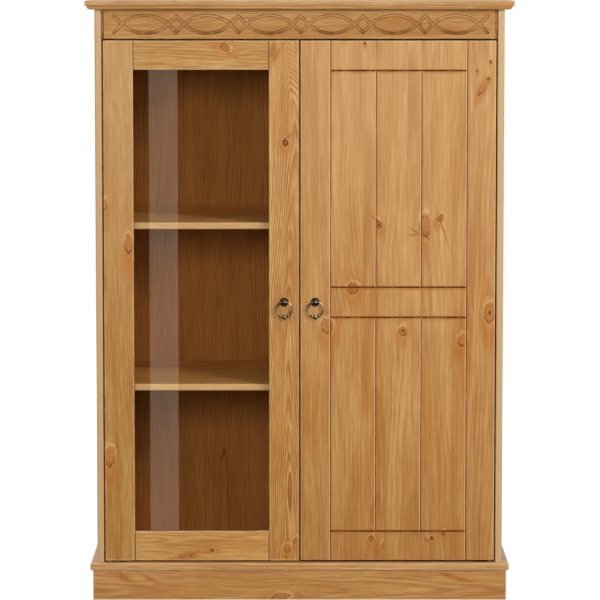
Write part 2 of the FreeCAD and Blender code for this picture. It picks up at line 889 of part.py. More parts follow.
def pull_screw():
    head = pull_screw_head_diameter / 2
    shank = pull_screw_diameter / 2
    outline = [(0, -pull_screw_head_height), (head * math.cos(math.radians(45)), -pull_screw_head_height),
               (head, -pull_screw_head_height / 2), (head, 0), (shank, 0),
               (shank, door_thickness + pull_screw_grip), (0, door_thickness + pull_screw_grip)]
    return turned(outline, pull_point(door_back), Vector(0, -1, 0))


def ring_place(x, z):
    return Vector(-pull_x + x, ring_axis_y, pull_z + z)


def ring_arc(centre_x, centre_z, radius, start_degrees, sweep_degrees):
    # A round rod bent about a centre; degrees run from +X towards +Z.
    turn = math.radians(start_degrees)
    place = ring_place(centre_x + radius * math.cos(turn), centre_z + radius * math.sin(turn))
    along = Vector(-math.sin(turn), 0, math.cos(turn))
    section = Part.Face(Part.Wire(Part.makeCircle(ring_rod_diameter / 2, place, along)))
    return section.revolve(ring_place(centre_x, centre_z), Vector(0, -1, 0), sweep_degrees)


def ring_bead(turn_degrees, diameter):
    # A round bead with its poles on the ring's own line; degrees run from the ring's lowest point.
    turn = math.radians(turn_degrees)
    place = ring_place(ring_radius * math.sin(turn), -ring_drop - ring_radius * math.cos(turn))
    return Part.makeSphere(diameter / 2, place, Vector(math.cos(turn), 0, math.sin(turn)))


def pull_ring():
    # The ring's upper ends bend level and carry thinner pins, which turn in the stud.
    bend_x = math.sqrt((ring_radius - ring_bend_radius) ** 2 - (ring_drop - ring_bend_radius) ** 2)
    tilt = math.degrees(math.atan2(ring_drop - ring_bend_radius, bend_x))
    ring = ring_arc(0, -ring_drop, ring_radius, 180 - tilt, 180 + 2 * tilt)
    left_bend = ring_arc(-bend_x, -ring_bend_radius, ring_bend_radius, 90, 90 - tilt)
    right_bend = ring_arc(bend_x, -ring_bend_radius, ring_bend_radius, tilt, 90 - tilt)
    solids = [ring, left_bend, right_bend]
    for sign in (-1, 1):
        inner = ring_end_gap / 2
        start = ring_place(sign * inner, 0)
        solids.append(rod(start, Vector(sign, 0, 0), ring_end_diameter, bend_x - inner))
        solids.append(ring_bead(sign * small_bead_turn, small_bead_diameter))
    solids.append(ring_bead(0, large_bead_diameter))
    bottom = ring_place(0, -ring_drop - ring_radius)
    cone_start = large_bead_diameter / 2 * math.sin(math.radians(30))
    cone_radius = large_bead_diameter / 2 * math.cos(math.radians(30))
    solids.append(Part.makeCone(cone_radius, 0, bead_tip_length - cone_start,
                                bottom - Vector(0, 0, cone_start), Vector(0, 0, -1)))
    return joined(solids)


# All pieces by name; the right-hand ones mirror the left-hand ones where they are alike

def both_sides(left_name, right_name, shape):
    pieces[left_name] = shape
    if isinstance(shape, list):
        pieces[right_name] = [mirrored(solid) for solid in shape]
    else:
        pieces[right_name] = mirrored(shape)


def make_carcass():
    pieces["top_board"] = top_board()
    both_sides("left_side_panel", "right_side_panel", left_side_panel())
    pieces["centre_partition"] = centre_partition()
    pieces["base_board"] = base_board()
    pieces["frieze_board"] = frieze_board()
    pieces["frieze_glue_blocks"] = frieze_glue_blocks()
    pieces["frieze_dowels"] = frieze_dowels(0)
    pieces["top_dowels"] = upright_dowels(top_underside, 1)
    pieces["base_dowels"] = upright_dowels(base_top, -1)
    pieces["top_rear_rail"] = top_rear_rail()
    both_sides("left_back_panel", "right_back_panel", back_panel())
    pieces["plinth_front"] = plinth_front()
    both_sides("plinth_left_side", "plinth_right_side", plinth_left_side())
    pieces["plinth_rear_rail"] = plinth_rear_rail()
    pieces["plinth_corner_blocks"] = plinth_corner_blocks()
    both_sides("left_upper_shelf", "right_upper_shelf", left_shelf(upper_shelf_top))
    both_sides("left_lower_shelf", "right_lower_shelf", left_shelf(lower_shelf_top))
    both_sides("left_shelf_strips", "right_shelf_strips", left_shelf_strips())
    both_sides("left_shelf_pins", "right_shelf_pins", left_shelf_pins())


def make_doors():
    pieces["left_door_outer_stile"] = door_stile(-door_outer, -door_outer + stile_width)
    pieces["left_door_inner_stile"] = door_stile(-door_inner - stile_width, -door_inner)
    rails = [door_rail(low, high) for low, high in rail_levels()]
    pieces["left_door_bottom_rail"], pieces["left_door_top_rail"] = rails
    pieces["left_door_glass"] = door_glass()
    pieces["left_door_glazing_beads"] = glazing_beads()
    pieces["right_door_panel"] = board_door()


def make_fittings():
    both_sides("left_lower_pivot", "right_lower_pivot", pivot_plate(-1, base_top, -1))
    both_sides("left_upper_pivot", "right_upper_pivot", pivot_plate(-1, frieze_bottom, 1))
    both_sides("left_door_pivot_bushes", "right_door_pivot_bushes", pivot_bushes())
    pieces["pivot_washers"] = pivot_washers()
    pieces["pivot_screws"] = pivot_screws()
    both_sides("left_magnetic_catch", "right_magnetic_catch", magnetic_catch())
    both_sides("left_strike_plate", "right_strike_plate", strike_plate())
    pieces["catch_screws"] = catch_screws(0)
    pieces["door_bumpers"] = door_bumpers()
    both_sides("left_pull_rosette", "right_pull_rosette", pull_rosette())
    both_sides("left_pull_stud", "right_pull_stud", pull_stud())
    both_sides("left_pull_screw", "right_pull_screw", pull_screw())
    both_sides("left_pull_ring", "right_pull_ring", pull_ring())


make_carcass()
make_doors()
make_fittings()

for node, shape in pieces.items():
    if isinstance(shape, list):
        shape = Part.makeCompound(shape)
    shape.exportStep("parts/" + node + ".step")
    box = shape.BoundBox
    print(node, len(shape.Solids), "solids, valid", shape.isValid(), "volume", round(shape.Volume / 1000, 2),
          "cm3", [round(v, 1) for v in (box.XMin, box.XMax, box.YMin, box.YMax, box.ZMin, box.ZMax)])
print(len(pieces), "nodes")
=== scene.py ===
import bpy
import math
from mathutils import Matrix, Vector


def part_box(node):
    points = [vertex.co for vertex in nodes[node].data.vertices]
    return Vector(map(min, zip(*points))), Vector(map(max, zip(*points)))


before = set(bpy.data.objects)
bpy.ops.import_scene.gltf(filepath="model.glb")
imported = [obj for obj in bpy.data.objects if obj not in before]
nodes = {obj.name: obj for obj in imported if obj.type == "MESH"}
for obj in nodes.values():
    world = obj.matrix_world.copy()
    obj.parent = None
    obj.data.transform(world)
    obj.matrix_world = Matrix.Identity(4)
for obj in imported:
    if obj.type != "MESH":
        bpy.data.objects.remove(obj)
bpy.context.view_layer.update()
print("frame loaded,", len(nodes), "nodes")


# Small helpers for shader trees and materials

def paint(red, green, blue):
    # A colour picked as 0-255 screen values, in the linear values that shaders use
    channels = []
    for value in (red, green, blue):
        share = value / 255
        channels.append(share / 12.92 if share <= 0.04045 else ((share + 0.055) / 1.055) ** 2.4)
    return (*channels, 1.0)


def plug(tree, socket, value):
    if isinstance(value, bpy.types.NodeSocket):
        tree.links.new(value, socket)
    else:
        socket.default_value = value


def maths(tree, operation, first, second=0.0):
    node = tree.nodes.new("ShaderNodeMath")
    node.operation = operation
    plug(tree, node.inputs[0], first)
    plug(tree, node.inputs[1], second)
    return node.outputs[0]


def plus(tree, first, second):
    return maths(tree, "ADD", first, second)


def minus(tree, first, second):
    return maths(tree, "SUBTRACT", first, second)


def over(tree, first, second):
    return maths(tree, "DIVIDE", first, second)


def most(tree, first, second):
    return maths(tree, "MAXIMUM", first, second)


def least(tree, first, second):
    return maths(tree, "MINIMUM", first, second)


def times(tree, first, *others):
    for other in others:
        first = maths(tree, "MULTIPLY", first, other)
    return first


def vectorMaths(tree, operation, first, second=(0.0, 0.0, 0.0), result="Vector"):
    node = tree.nodes.new("ShaderNodeVectorMath")
    node.operation = operation
    plug(tree, node.inputs[0], first)
    plug(tree, node.inputs[1], second)
    return node.outputs[result]


def fade(tree, value, start, end, low=0.0, high=1.0):
    # Smooth step from low at start to high at end; a look holds these numbers in this order
    node = tree.nodes.new("ShaderNodeMapRange")
    node.interpolation_type = "SMOOTHSTEP"
    settings = {"Value": value, "From Min": start, "From Max": end, "To Min": low, "To Max": high}
    for name, given in settings.items():
        plug(tree, node.inputs[name], given)
    return node.outputs["Result"]


def noise(tree, vector, scale, detail=2.0, roughness=0.5):
    node = tree.nodes.new("ShaderNodeTexNoise")
    for name, given in {"Vector": vector, "Scale": scale, "Detail": detail, "Roughness": roughness}.items():
        plug(tree, node.inputs[name], given)
    return node.outputs["Fac"]


def combine(tree, x, y, z):
    node = tree.nodes.new("ShaderNodeCombineXYZ")
    for socket, value in zip(node.inputs, (x, y, z)):
        plug(tree, socket, value)
    return node.outputs[0]


def separate(tree, vector):
    node = tree.nodes.new("ShaderNodeSeparateXYZ")
    plug(tree, node.inputs[0], vector)
    return node.outputs[0], node.outputs[1], node.outputs[2]


def mixColour(tree, amount, first, second):
    node = tree.nodes.new("ShaderNodeMix")
    node.data_type = "RGBA"
    plug(tree, node.inputs[0], amount)
    plug(tree, node.inputs[6], first)
    plug(tree, node.inputs[7], second)
    return node.outputs[2]


def tinted(tree, colour, mask, strength, shade):
    # The colour with a shade laid over it where the mask is full
    return mixColour(tree, times(tree, mask, strength), colour, paint(*shade))


def newGroup(name, given, results):
    # given: socket name to starting value, results: names of the numbers that the group puts out
    group = bpy.data.node_groups.new(name, "ShaderNodeTree")
    for title, value in given.items():
        kind = "Vector" if isinstance(value, tuple) else "Float"
        socket = group.interface.new_socket(title, in_out="INPUT", socket_type="NodeSocket" + kind)
        socket.default_value = value
    for title in results:
        group.interface.new_socket(title, in_out="OUTPUT", socket_type="NodeSocketFloat")
    entry = group.nodes.new("NodeGroupInput")
    out = group.nodes.new("NodeGroupOutput")
    return group, entry.outputs, out.inputs


def place(tree, group, **values):
    # One use of a group; a value's name is the socket's name with its spaces left out
    node = tree.nodes.new("ShaderNodeGroup")
    node.node_tree = group
    sockets = {socket.name.replace(" ", ""): socket for socket in node.inputs}
    for name, value in values.items():
        plug(tree, sockets[name[0].upper() + name[1:]], value)
    return node.outputs


def newMaterial(name):
    material = bpy.data.materials.new(name)
    material.use_nodes = True
    tree = material.node_tree
    shader = tree.nodes["Principled BSDF"]
    point = tree.nodes.new("ShaderNodeTexCoord").outputs["Object"]
    return material, tree, shader, point


def facing(tree):
    # The way the surface faces, in the cabinet's own directions
    return tree.nodes.new("ShaderNodeTexCoord").outputs["Normal"]


def feed(tree, shader, **values):
    # Values and links for the shader; a value's name is the socket's name with its spaces left out
    sockets = {socket.name.replace(" ", ""): socket for socket in shader.inputs}
    for name, value in values.items():
        plug(tree, sockets[name[0].upper() + name[1:]], value)


def giveHeight(tree, shader, height, distance, strength):
    bump = tree.nodes.new("ShaderNodeBump")
    bump.inputs["Strength"].default_value = strength
    bump.inputs["Distance"].default_value = distance
    plug(tree, bump.inputs["Height"], height)
    tree.links.new(bump.outputs["Normal"], shader.inputs["Normal"])


def dress(nodeName, material):
    for slot in nodes[nodeName].material_slots:
        slot.material = material


# Node groups that several woods and metals share

staveLook = {
    "seedSpread": 37.0,
    "depthTurns": 7.3,
    "glueLine": (0.0009, 0.0001),
}


def buildStaves():
    # Edge-glued staves: each has its own number, tone and heart, with a fine glue line between two
    group, given, out = newGroup("staves", {
        "Across": 0.0, "Strip Width": 0.0524, "First Edge": 0.0, "Spread": 0.09, "Seed": 0.0,
    }, ("Local Across", "Strip Seed", "Strip Tone", "Strip Depth", "Glue Line"))
    width = given["Strip Width"]
    number = over(group, minus(group, given["Across"], given["First Edge"]), width)
    chance = group.nodes.new("ShaderNodeTexWhiteNoise")
    chance.noise_dimensions = "2D"
    plug(group, chance.inputs["Vector"], combine(group, maths(group, "FLOOR", number), given["Seed"], 0.0))
    first, second, third = separate(group, chance.outputs["Color"])
    part = maths(group, "FRACT", number)
    local = times(group, minus(group, part, 0.5), width)
    shift = times(group, minus(group, third, 0.5), given["Spread"], 2.0)
    edge = times(group, least(group, part, minus(group, 1.0, part)), width)
    turned = maths(group, "FRACT", times(group, second, staveLook["depthTurns"]))
    plug(group, out["Local Across"], plus(group, local, shift))
    plug(group, out["Strip Seed"], plus(group, given["Seed"], times(group, second, staveLook["seedSpread"])))
    plug(group, out["Strip Tone"], first)
    plug(group, out["Strip Depth"], turned)
    plug(group, out["Glue Line"], fade(group, edge, *staveLook["glueLine"]))
    return group


knotShape = {  # distances are in shares of the knot's own reach, heights too
    "partedHeight": 0.53,
    "body": (1.14, 0.72),
    "rimInside": (0.78, 0.98),
    "rimOutside": (1.2, 1.02),
    "rimHeight": (0.6, -0.8, 0.2, 1.0),
    "haloInside": (1.05, 1.25),
    "haloOutside": (1.8, 1.35),
    "haloHeight": (-0.6, 0.9, 0.3, 1.0),
    "darkOutside": (1.16, 0.94),
    "darkInside": (0.15, 0.5, 0.7, 1.0),
    "smear": (3.0, 1.1),
    "smearHeight": (2.0, -0.8, 0.35, 1.0),
    "ringCount": 4.2,
    "ringLine": (0.3, 0.9),
}
knotMarks = ("Body", "Rim", "Dark", "Halo", "Smear", "Inner Rings")


def buildKnot():
    # One knot in its own stave: grain parts round it, rings and a rim lie in it, halo and smear round it
    group, given, out = newGroup("knot", {
        "Across": 0.0, "Along": 0.0, "Middle Across": 0.0, "Middle Along": 0.0, "Radius": 0.01,
        "Stretch": 1.4, "Turn": 0.0, "Push": 1.0, "Dead": 0.0, "Ragged": 1.0, "Strip Width": 20.0,
        "First Edge": -10.0, **dict.fromkeys(knotMarks, 0.0),
    }, ("Across", *knotMarks))

    def stripNumber(value):
        edges = over(group, minus(group, value, given["First Edge"]), given["Strip Width"])
        return maths(group, "FLOOR", edges)

    def part(value, name):
        return fade(group, value, *knotShape[name])

    def kept(name, value):
        # The mark of this knot or of the knots before it, whichever is stronger
        plug(group, out[name], most(group, given[name], times(group, value, own)))

    apart = minus(group, stripNumber(given["Across"]), stripNumber(given["Middle Across"]))
    own = minus(group, 1.0, least(group, maths(group, "ABSOLUTE", apart), 1.0))
    spot = combine(group, given["Across"], given["Along"], 0.0)
    heart = combine(group, given["Middle Across"], given["Middle Along"], 0.0)
    offset = vectorMaths(group, "SUBTRACT", spot, heart)
    aside = separate(group, offset)[0]
    turned = group.nodes.new("ShaderNodeVectorRotate")
    turned.rotation_type = "Z_AXIS"
    turned.invert = True
    plug(group, turned.inputs["Vector"], offset)
    plug(group, turned.inputs["Angle"], given["Turn"])
    reach = combine(group, given["Radius"], times(group, given["Radius"], given["Stretch"]), 1.0)
    shape = vectorMaths(group, "DIVIDE", turned.outputs["Vector"], reach)
    height = separate(group, shape)[1]
    share = times(group, vectorMaths(group, "LENGTH", shape, result="Value"), given["Ragged"])
    flattened = vectorMaths(group, "MULTIPLY", shape, (1.0, knotShape["partedHeight"], 0.0))
    wide = vectorMaths(group, "LENGTH", flattened, result="Value")
    pushed = least(group, over(group, 1.0, times(group, wide, wide)), 1.0)
    body = part(share, "body")
    rim = times(group, part(share, "rimInside"), part(share, "rimOutside"))
    halo = times(group, part(share, "haloInside"), part(share, "haloOutside"))
    ring = times(group, part(share, "darkOutside"), part(share, "darkInside"))
    turns = maths(group, "PINGPONG", times(group, share, knotShape["ringCount"]), 1.0)
    moved = times(group, aside, times(group, pushed, times(group, own, given["Push"])))
    plug(group, out["Across"], minus(group, given["Across"], moved))
    kept("Body", body)
    kept("Rim", times(group, rim, part(height, "rimHeight")))
    kept("Dark", times(group, ring, given["Dead"]))
    kept("Halo", times(group, halo, part(height, "haloHeight"), given["Push"]))
    kept("Smear", times(group, part(wide, "smear"), part(height, "smearHeight")))
    kept("Inner Rings", times(group, part(turns, "ringLine"), body))
    return group


grainLook = {
    "seedAlong": 1.7,
    "seedAcross": 0.31,
    "bendReach": 0.06,
    "bend": (1.5, 1.0),
    "swayTimes": 4.0,
    "lateEnd": 0.88,
    "lateFall": (1.0, 0.94),
    "paleRise": (0.02, 0.16),
    "paleFall": (0.6, 0.2),
    "weakestRing": 0.25,
    "fineShare": 0.75,
    "quietFade": (0.35, 0.62, 0.35, 1.0),
    "fibreFade": (0.41, 0.59),
    "toneFade": (0.34, 0.66),
    "flameFade": (0.6, 0.74),
    "patchFade": (0.45, 0.6),
    # noises: how far they are drawn out along the grain, then scale, detail and roughness
    "sway": (0.2, 14.0, 2.0, 0.5),
    "quiet": (0.2, 23.0, 2.0, 0.5),
    "fine": (0.035, 440.0, 2.0, 0.75),
    "coarse": (0.035, 120.0, 1.0, 0.5),
    "tone": (0.14, 26.0, 3.0, 0.55),
    "flame": (0.045, 92.0, 1.0, 0.5),
    "patch": (0.4, 9.0, 1.0, 0.5),
}


def buildPineGrain():
    # Growth rings cut by the board's face, fibres, broad tones and pale flames along the grain
    group, given, out = newGroup("pineGrain", {
        "Across": 0.0, "Along": 0.0, "Depth": 0.0, "Ring Width": 0.007, "Heart Across": 0.0,
        "Heart Depth": 0.06, "Taper": 0.03, "Waviness": 0.006, "Line Start": 0.4, "Seed": 0.0,
    }, ("Rings", "Pale", "Fibre", "Tone", "Flame"))
    along = plus(group, given["Along"], times(group, given["Seed"], grainLook["seedAlong"]))
    sideways = plus(group, given["Across"], times(group, given["Seed"], grainLook["seedAcross"]))

    def drawnOut(name, across):
        stretch, *settings = grainLook[name]
        vector = combine(group, across, given["Depth"], times(group, along, stretch))
        return noise(group, vector, *settings)

    def ringPart(first, second):
        return times(group, fade(group, part, *first), fade(group, part, *second))

    sway = minus(group, drawnOut("sway", sideways), 0.5)
    bend = noise(group, combine(group, given["Seed"], 0.0, along), *grainLook["bend"])
    bend = minus(group, bend, 0.5)
    aside = minus(group, given["Across"], given["Heart Across"])
    aside = plus(group, aside, times(group, bend, grainLook["bendReach"]))
    deep = plus(group, given["Depth"], given["Heart Depth"])
    radius = maths(group, "SQRT", plus(group, times(group, aside, aside), times(group, deep, deep)))
    radius = plus(group, radius, times(group, given["Along"], given["Taper"]))
    wave = times(group, given["Waviness"], grainLook["swayTimes"])
    radius = plus(group, radius, times(group, sway, wave))
    count = over(group, radius, given["Ring Width"])
    part = maths(group, "FRACT", count)
    chance = group.nodes.new("ShaderNodeTexWhiteNoise")
    chance.noise_dimensions = "1D"
    plug(group, chance.inputs["W"], plus(group, maths(group, "FLOOR", count), given["Seed"]))
    late = ringPart((given["Line Start"], grainLook["lateEnd"]), grainLook["lateFall"])
    pale = ringPart(grainLook["paleRise"], grainLook["paleFall"])
    weakest = grainLook["weakestRing"]
    strength = plus(group, weakest, times(group, chance.outputs["Value"], 1.0 - weakest))
    quiet = fade(group, drawnOut("quiet", sideways), *grainLook["quietFade"])
    fine = times(group, drawnOut("fine", given["Across"]), grainLook["fineShare"])
    coarse = times(group, drawnOut("coarse", given["Across"]), 1.0 - grainLook["fineShare"])
    flame = fade(group, drawnOut("flame", sideways), *grainLook["flameFade"])
    patch = fade(group, drawnOut("patch", sideways), *grainLook["patchFade"])
    plug(group, out["Rings"], times(group, late, strength, quiet))
    plug(group, out["Pale"], times(group, pale, strength, quiet))
    plug(group, out["Fibre"], fade(group, plus(group, fine, coarse), *grainLook["fibreFade"]))
    plug(group, out["Tone"], fade(group, drawnOut("tone", sideways), *grainLook["toneFade"]))
    plug(group, out["Flame"], times(group, flame, patch))
    return group


wearAndHighlightLook = {"patchScale": 34.0, "patchDetail": 3.0, "broken": (0.34, 0.6, 0.35, 1.0)}


def buildEdgeWearAndHighlight():
    # Rubbed arrises, partly real wear and partly a painted highlight: how near a point is to an edge of the
    # board's own box, broken up by noise
    group, given, out = newGroup("edgeWear", {
        "Position": (0.0, 0.0, 0.0), "Low Corner": (0.0, 0.0, 0.0), "High Corner": (1.0, 1.0, 1.0),
        "Width": 0.004,
    }, ("Wear",))
    low = vectorMaths(group, "SUBTRACT", given["Position"], given["Low Corner"])
    high = vectorMaths(group, "SUBTRACT", given["High Corner"], given["Position"])
    x, y, z = separate(group, vectorMaths(group, "MINIMUM", low, high))
    second = most(group, least(group, x, y), least(group, most(group, x, y), z))
    near = fade(group, second, given["Width"], 0.0)
    patches = noise(group, given["Position"], wearAndHighlightLook["patchScale"], wearAndHighlightLook["patchDetail"])
    plug(group, out["Wear"], times(group, near, fade(group, patches, *wearAndHighlightLook["broken"])))
    return group


tarnishLook = {
    "cleanStart": 0.75,
    "amountReach": 0.5,
    "softness": 0.22,
    "detail": 4.0,
    "scratchStretch": (1.0, 0.25, 0.5),
    "scratches": (2600.0, 3.0, 0.7),
}


def buildTarnish():
    # Patches of tarnish and fine scratches for metal fittings
    group, given, out = newGroup("tarnish", {
        "Position": (0.0, 0.0, 0.0), "Patch Size": 0.004, "Amount": 0.5,
    }, ("Tarnish", "Scratches"))
    patches = noise(group, given["Position"], over(group, 1.0, given["Patch Size"]), tarnishLook["detail"])
    start = minus(group, tarnishLook["cleanStart"], times(group, given["Amount"], tarnishLook["amountReach"]))
    fine = vectorMaths(group, "MULTIPLY", given["Position"], tarnishLook["scratchStretch"])
    plug(group, out["Tarnish"], fade(group, patches, start, plus(group, start, tarnishLook["softness"])))
    plug(group, out["Scratches"], noise(group, fine, *tarnishLook["scratches"]))
    return group


nailShape = {"edge": (1.0, 0.85), "dome": (1.15, 0.1)}


def buildNailHeads():
    # Small nail heads in a row round a panel's rim, seen from behind
    group, given, out = newGroup("nailHeads", {
        "Across": 0.0, "Along": 0.0, "Low Across": 0.0, "High Across": 1.0, "Low Along": 0.0,
        "High Along": 1.0, "Inset": 0.004, "Spacing": 0.11, "Radius": 0.002,
    }, ("Head", "Dome"))

    def fromEdge(spot, low, high):
        first = maths(group, "ABSOLUTE", minus(group, minus(group, spot, low), given["Inset"]))
        second = maths(group, "ABSOLUTE", minus(group, minus(group, high, spot), given["Inset"]))
        return least(group, first, second)

    def fromStep(spot):
        part = maths(group, "FRACT", over(group, spot, given["Spacing"]))
        return times(group, minus(group, part, 0.5), given["Spacing"])

    def lengthOf(first, second):
        return maths(group, "SQRT", plus(group, times(group, first, first), times(group, second, second)))

    fromSide = fromEdge(given["Across"], given["Low Across"], given["High Across"])
    fromEnd = fromEdge(given["Along"], given["Low Along"], given["High Along"])
    upright = lengthOf(fromSide, fromStep(given["Along"]))
    level = lengthOf(fromEnd, fromStep(given["Across"]))
    reach = over(group, least(group, upright, level), given["Radius"])
    plug(group, out["Head"], fade(group, reach, *nailShape["edge"]))
    plug(group, out["Dome"], fade(group, reach, *nailShape["dome"]))
    return group


staves = buildStaves()
knot = buildKnot()
pineGrain = buildPineGrain()
edgeWear = buildEdgeWearAndHighlight()
tarnish = buildTarnish()
nailHeads = buildNailHeads()
print("shader groups built")


# Pine boards

pine = {  # shared by all waxed pine; a board's own values change what differs
    "early": (199, 154, 90),
    "warm": (178, 118, 56),
    "late": (138, 83, 33),
    "flame": (217, 178, 124),
    "stripPale": (201, 156, 94),
    "stripDeep": (178, 119, 54),
    "knotHeart": (178, 112, 50),
    "knotMiddle": (204, 150, 92),
    "knotHalo": (220, 178, 120),
    "knotSmear": (172, 104, 38),
    "knotRim": (112, 58, 20),
    "deadKnot": (54, 24, 6),
    # rubbed edges, partly worn and partly a painted highlight
    "worn": (234, 196, 148),
    # dark colour in the cuts, partly stain and partly painted shade
    "stain": (70, 24, 0),
    # a painted sheen towards the top of the doors
    "bleached": (214, 178, 132),
    # bands beside the grooves, partly soaked stain and partly painted shade
    "soaked": (158, 90, 34),
    "jointLine": (92, 50, 18),
    "glue": (138, 88, 44),
    "nail": (150, 150, 146),
    # painted shade in the gaps round the doors
    "edgeColour": (66, 32, 10),
    "toneDepth": 0.75,
    "stripDepth": 0.35,
    "paleDepth": 0.25,
    "ringDepth": 0.5,
    "fibreDepth": 0.48,
    "flameDepth": 0.35,
    "knotDepth": 0.8,
    # the next two: strength and width of the worn edges with their painted highlight
    "wearDepth": 0.5,
    "wearWidth": 0.0042,
    # strength of the painted sheen towards the top
    "bleach": 0.0,
    # strength of the painted shade towards the foot
    "foot": 0.0,
    # strength of the painted shade in the door gaps
    "edgeStain": 0.0,
    "lineStart": 0.4,
    "ringWidth": 0.0065,
    "heartAcross": 0.0,
    "heartDepth": 0.05,
    "taper": 0.02,
    "waviness": 0.005,
    "stripWidth": 0.0,
    "firstEdge": 0.0,
    "spread": 0.09,
    "seed": 0.0,
    "roughness": 0.42,
    "specular": 0.22,
    "coat": 0.08,
    "bump": 0.5,
    "knots": [],
    "jointEnds": (),
    "crest": None,
    "frontEdge": None,
    "cutStain": None,
    "nails": False,
}
marksOf = {  # where and how strongly the marks of a board show, the same on every board
    "staveDepth": 0.05,
    "glue": 0.3,
    # heights over which the painted sheen towards the top fades in
    "bleachHeights": (0.4, 1.3),
    # heights over which the painted shade towards the foot fades in
    "footHeights": (0.45, 0.08),
    "jointReach": (0.0024, 0.0012),
    "joint": 0.85,
    "frontEdge": (0.002, 0.0005, 0.0, 0.75),
    # the next two: depths behind the front between which the doors' edges take painted shade
    "edgeFront": (0.0015, 0.004),
    "edgeBack": (0.0178, 0.0172),
    "fibreGloss": -0.08,
    "ringGloss": 0.07,
    "coatRoughness": 0.3,
    "ringHeight": 0.9,
    "bumpDepth": 0.00012,
    "nailRear": (0.0006, 0.0003),
    "nailMetal": 0.85,
    "nailRise": 6.0,
}
knotInk = {
    "ragged": (150.0, 2.0),
    "mottle": (320.0, 2.0, 0.6),
    "mottleFade": (0.45, 0.65),
    "mottleDepth": 0.6,
    "smear": 0.55,
    "halo": 0.45,
    "innerRings": 0.42,
    "deadBase": 0.6,
    "rim": 0.8,
    "partingStretch": 3,
}
oneStave = {"stripWidth": 20.0, "firstEdge": -10.0}  # for a board that isn't glued up


def placeKnots(tree, point, across, along, look):
    # Passes the parted grain and the marks of one knot on to the next; small marks come first in the lists
    marks = dict.fromkeys(knotMarks, 0.0)
    ragged = plus(tree, noise(tree, point, *knotInk["ragged"]), 0.5)
    stave = {name: look[name] for name in oneStave} if look["stripWidth"] else oneStave
    for middleAcross, middleAlong, radius, stretch, turn, dead in look["knots"]:
        push = 1.0 if stretch < knotInk["partingStretch"] else 0.0
        before = {name.replace(" ", ""): mark for name, mark in marks.items()}
        made = place(
            tree, knot, across=across, along=along, middleAcross=middleAcross, middleAlong=middleAlong,
            radius=radius, stretch=stretch, turn=math.radians(turn), push=push, dead=dead, ragged=ragged,
            **stave, **before)
        across = made["Across"]
        marks = {name: made[name] for name in knotMarks}
    return across, marks


def knotColours(tree, colour, point, marks, look):
    mottle = fade(tree, noise(tree, point, *knotInk["mottle"]), *knotInk["mottleFade"])
    colour = tinted(tree, colour, marks["Smear"], knotInk["smear"], look["knotSmear"])
    colour = tinted(tree, colour, marks["Halo"], knotInk["halo"], look["knotHalo"])
    heart = tinted(tree, paint(*look["knotHeart"]), mottle, knotInk["mottleDepth"], look["knotMiddle"])
    heart = tinted(tree, heart, marks["Inner Rings"], knotInk["innerRings"], look["knotRim"])
    base = knotInk["deadBase"]
    ringed = plus(tree, base, times(tree, marks["Inner Rings"], 1.0 - base))
    heart = tinted(tree, heart, marks["Dark"], ringed, look["deadKnot"])
    cover = most(tree, times(tree, marks["Body"], look["knotDepth"]), marks["Dark"])
    colour = mixColour(tree, cover, colour, heart)
    return tinted(tree, colour, marks["Rim"], knotInk["rim"], look["knotRim"])


milling = {  # the board door's grooves and the stain in them; margins and halves of widths in metres
    "innerMargin": 0.070,
    "outerMargin": 0.068,
    "endMargin": 0.070,
    "halfRail": 0.0355,
    "planks": 3,
    "levelReach": (0.0038, 0.0026),
    "levelBelow": (-0.010, -0.003),
    "levelAbove": (0.005, 0.002),
    "uprightLeft": (-0.001, 0.001),
    "uprightRight": (0.009, 0.001),
    "outsideEnds": 0.003,
    "insideEnds": 0.001,
    "soakStretch": (1.0, 1.0, 0.25),
    "soakNoise": (21.0, 2.0),
    "soakFade": (0.35, 0.62, 0.25, 1.0),
    "unevenNoise": (60.0, 3.0, 0.6),
    "unevenFade": (0.34, 0.58, 0.55, 1.0),
    # the next two: how far a cut wall must face the key lamp for its painted light and its painted highlight
    "litFade": (0.2, 0.5),
    "lipFade": (0.3, 0.6),
    "floorSoftness": 0.0002,
    "tipReach": 0.009,
    "tipFill": 0.6,
}


def soakedAndShadedBands(tree, parts, cut):
    # Soft brown bands to the right of the upright grooves and along the level ones, partly soaked stain and
    # partly painted shade beside the grooves
    first, last = cut["uprights"][0], cut["uprights"][-1]
    outside, inside = milling["outsideEnds"], milling["insideEnds"]
    fromLeft = fade(tree, parts["x"], first - outside, first + inside)
    within = times(tree, fromLeft, fade(tree, parts["x"], last + outside, last - inside))
    bands = 0.0
    for level in cut["levels"]:
        above = minus(tree, parts["z"], level)
        low = fade(tree, above, *milling["levelBelow"])
        bands = most(tree, bands, times(tree, low, fade(tree, above, *milling["levelAbove"])))
    bands = times(tree, bands, within)
    for upright in cut["uprights"]:
        aside = minus(tree, parts["x"], upright)
        left = fade(tree, aside, *milling["uprightLeft"])
        bands = most(tree, bands, times(tree, left, fade(tree, aside, *milling["uprightRight"])))
    return bands


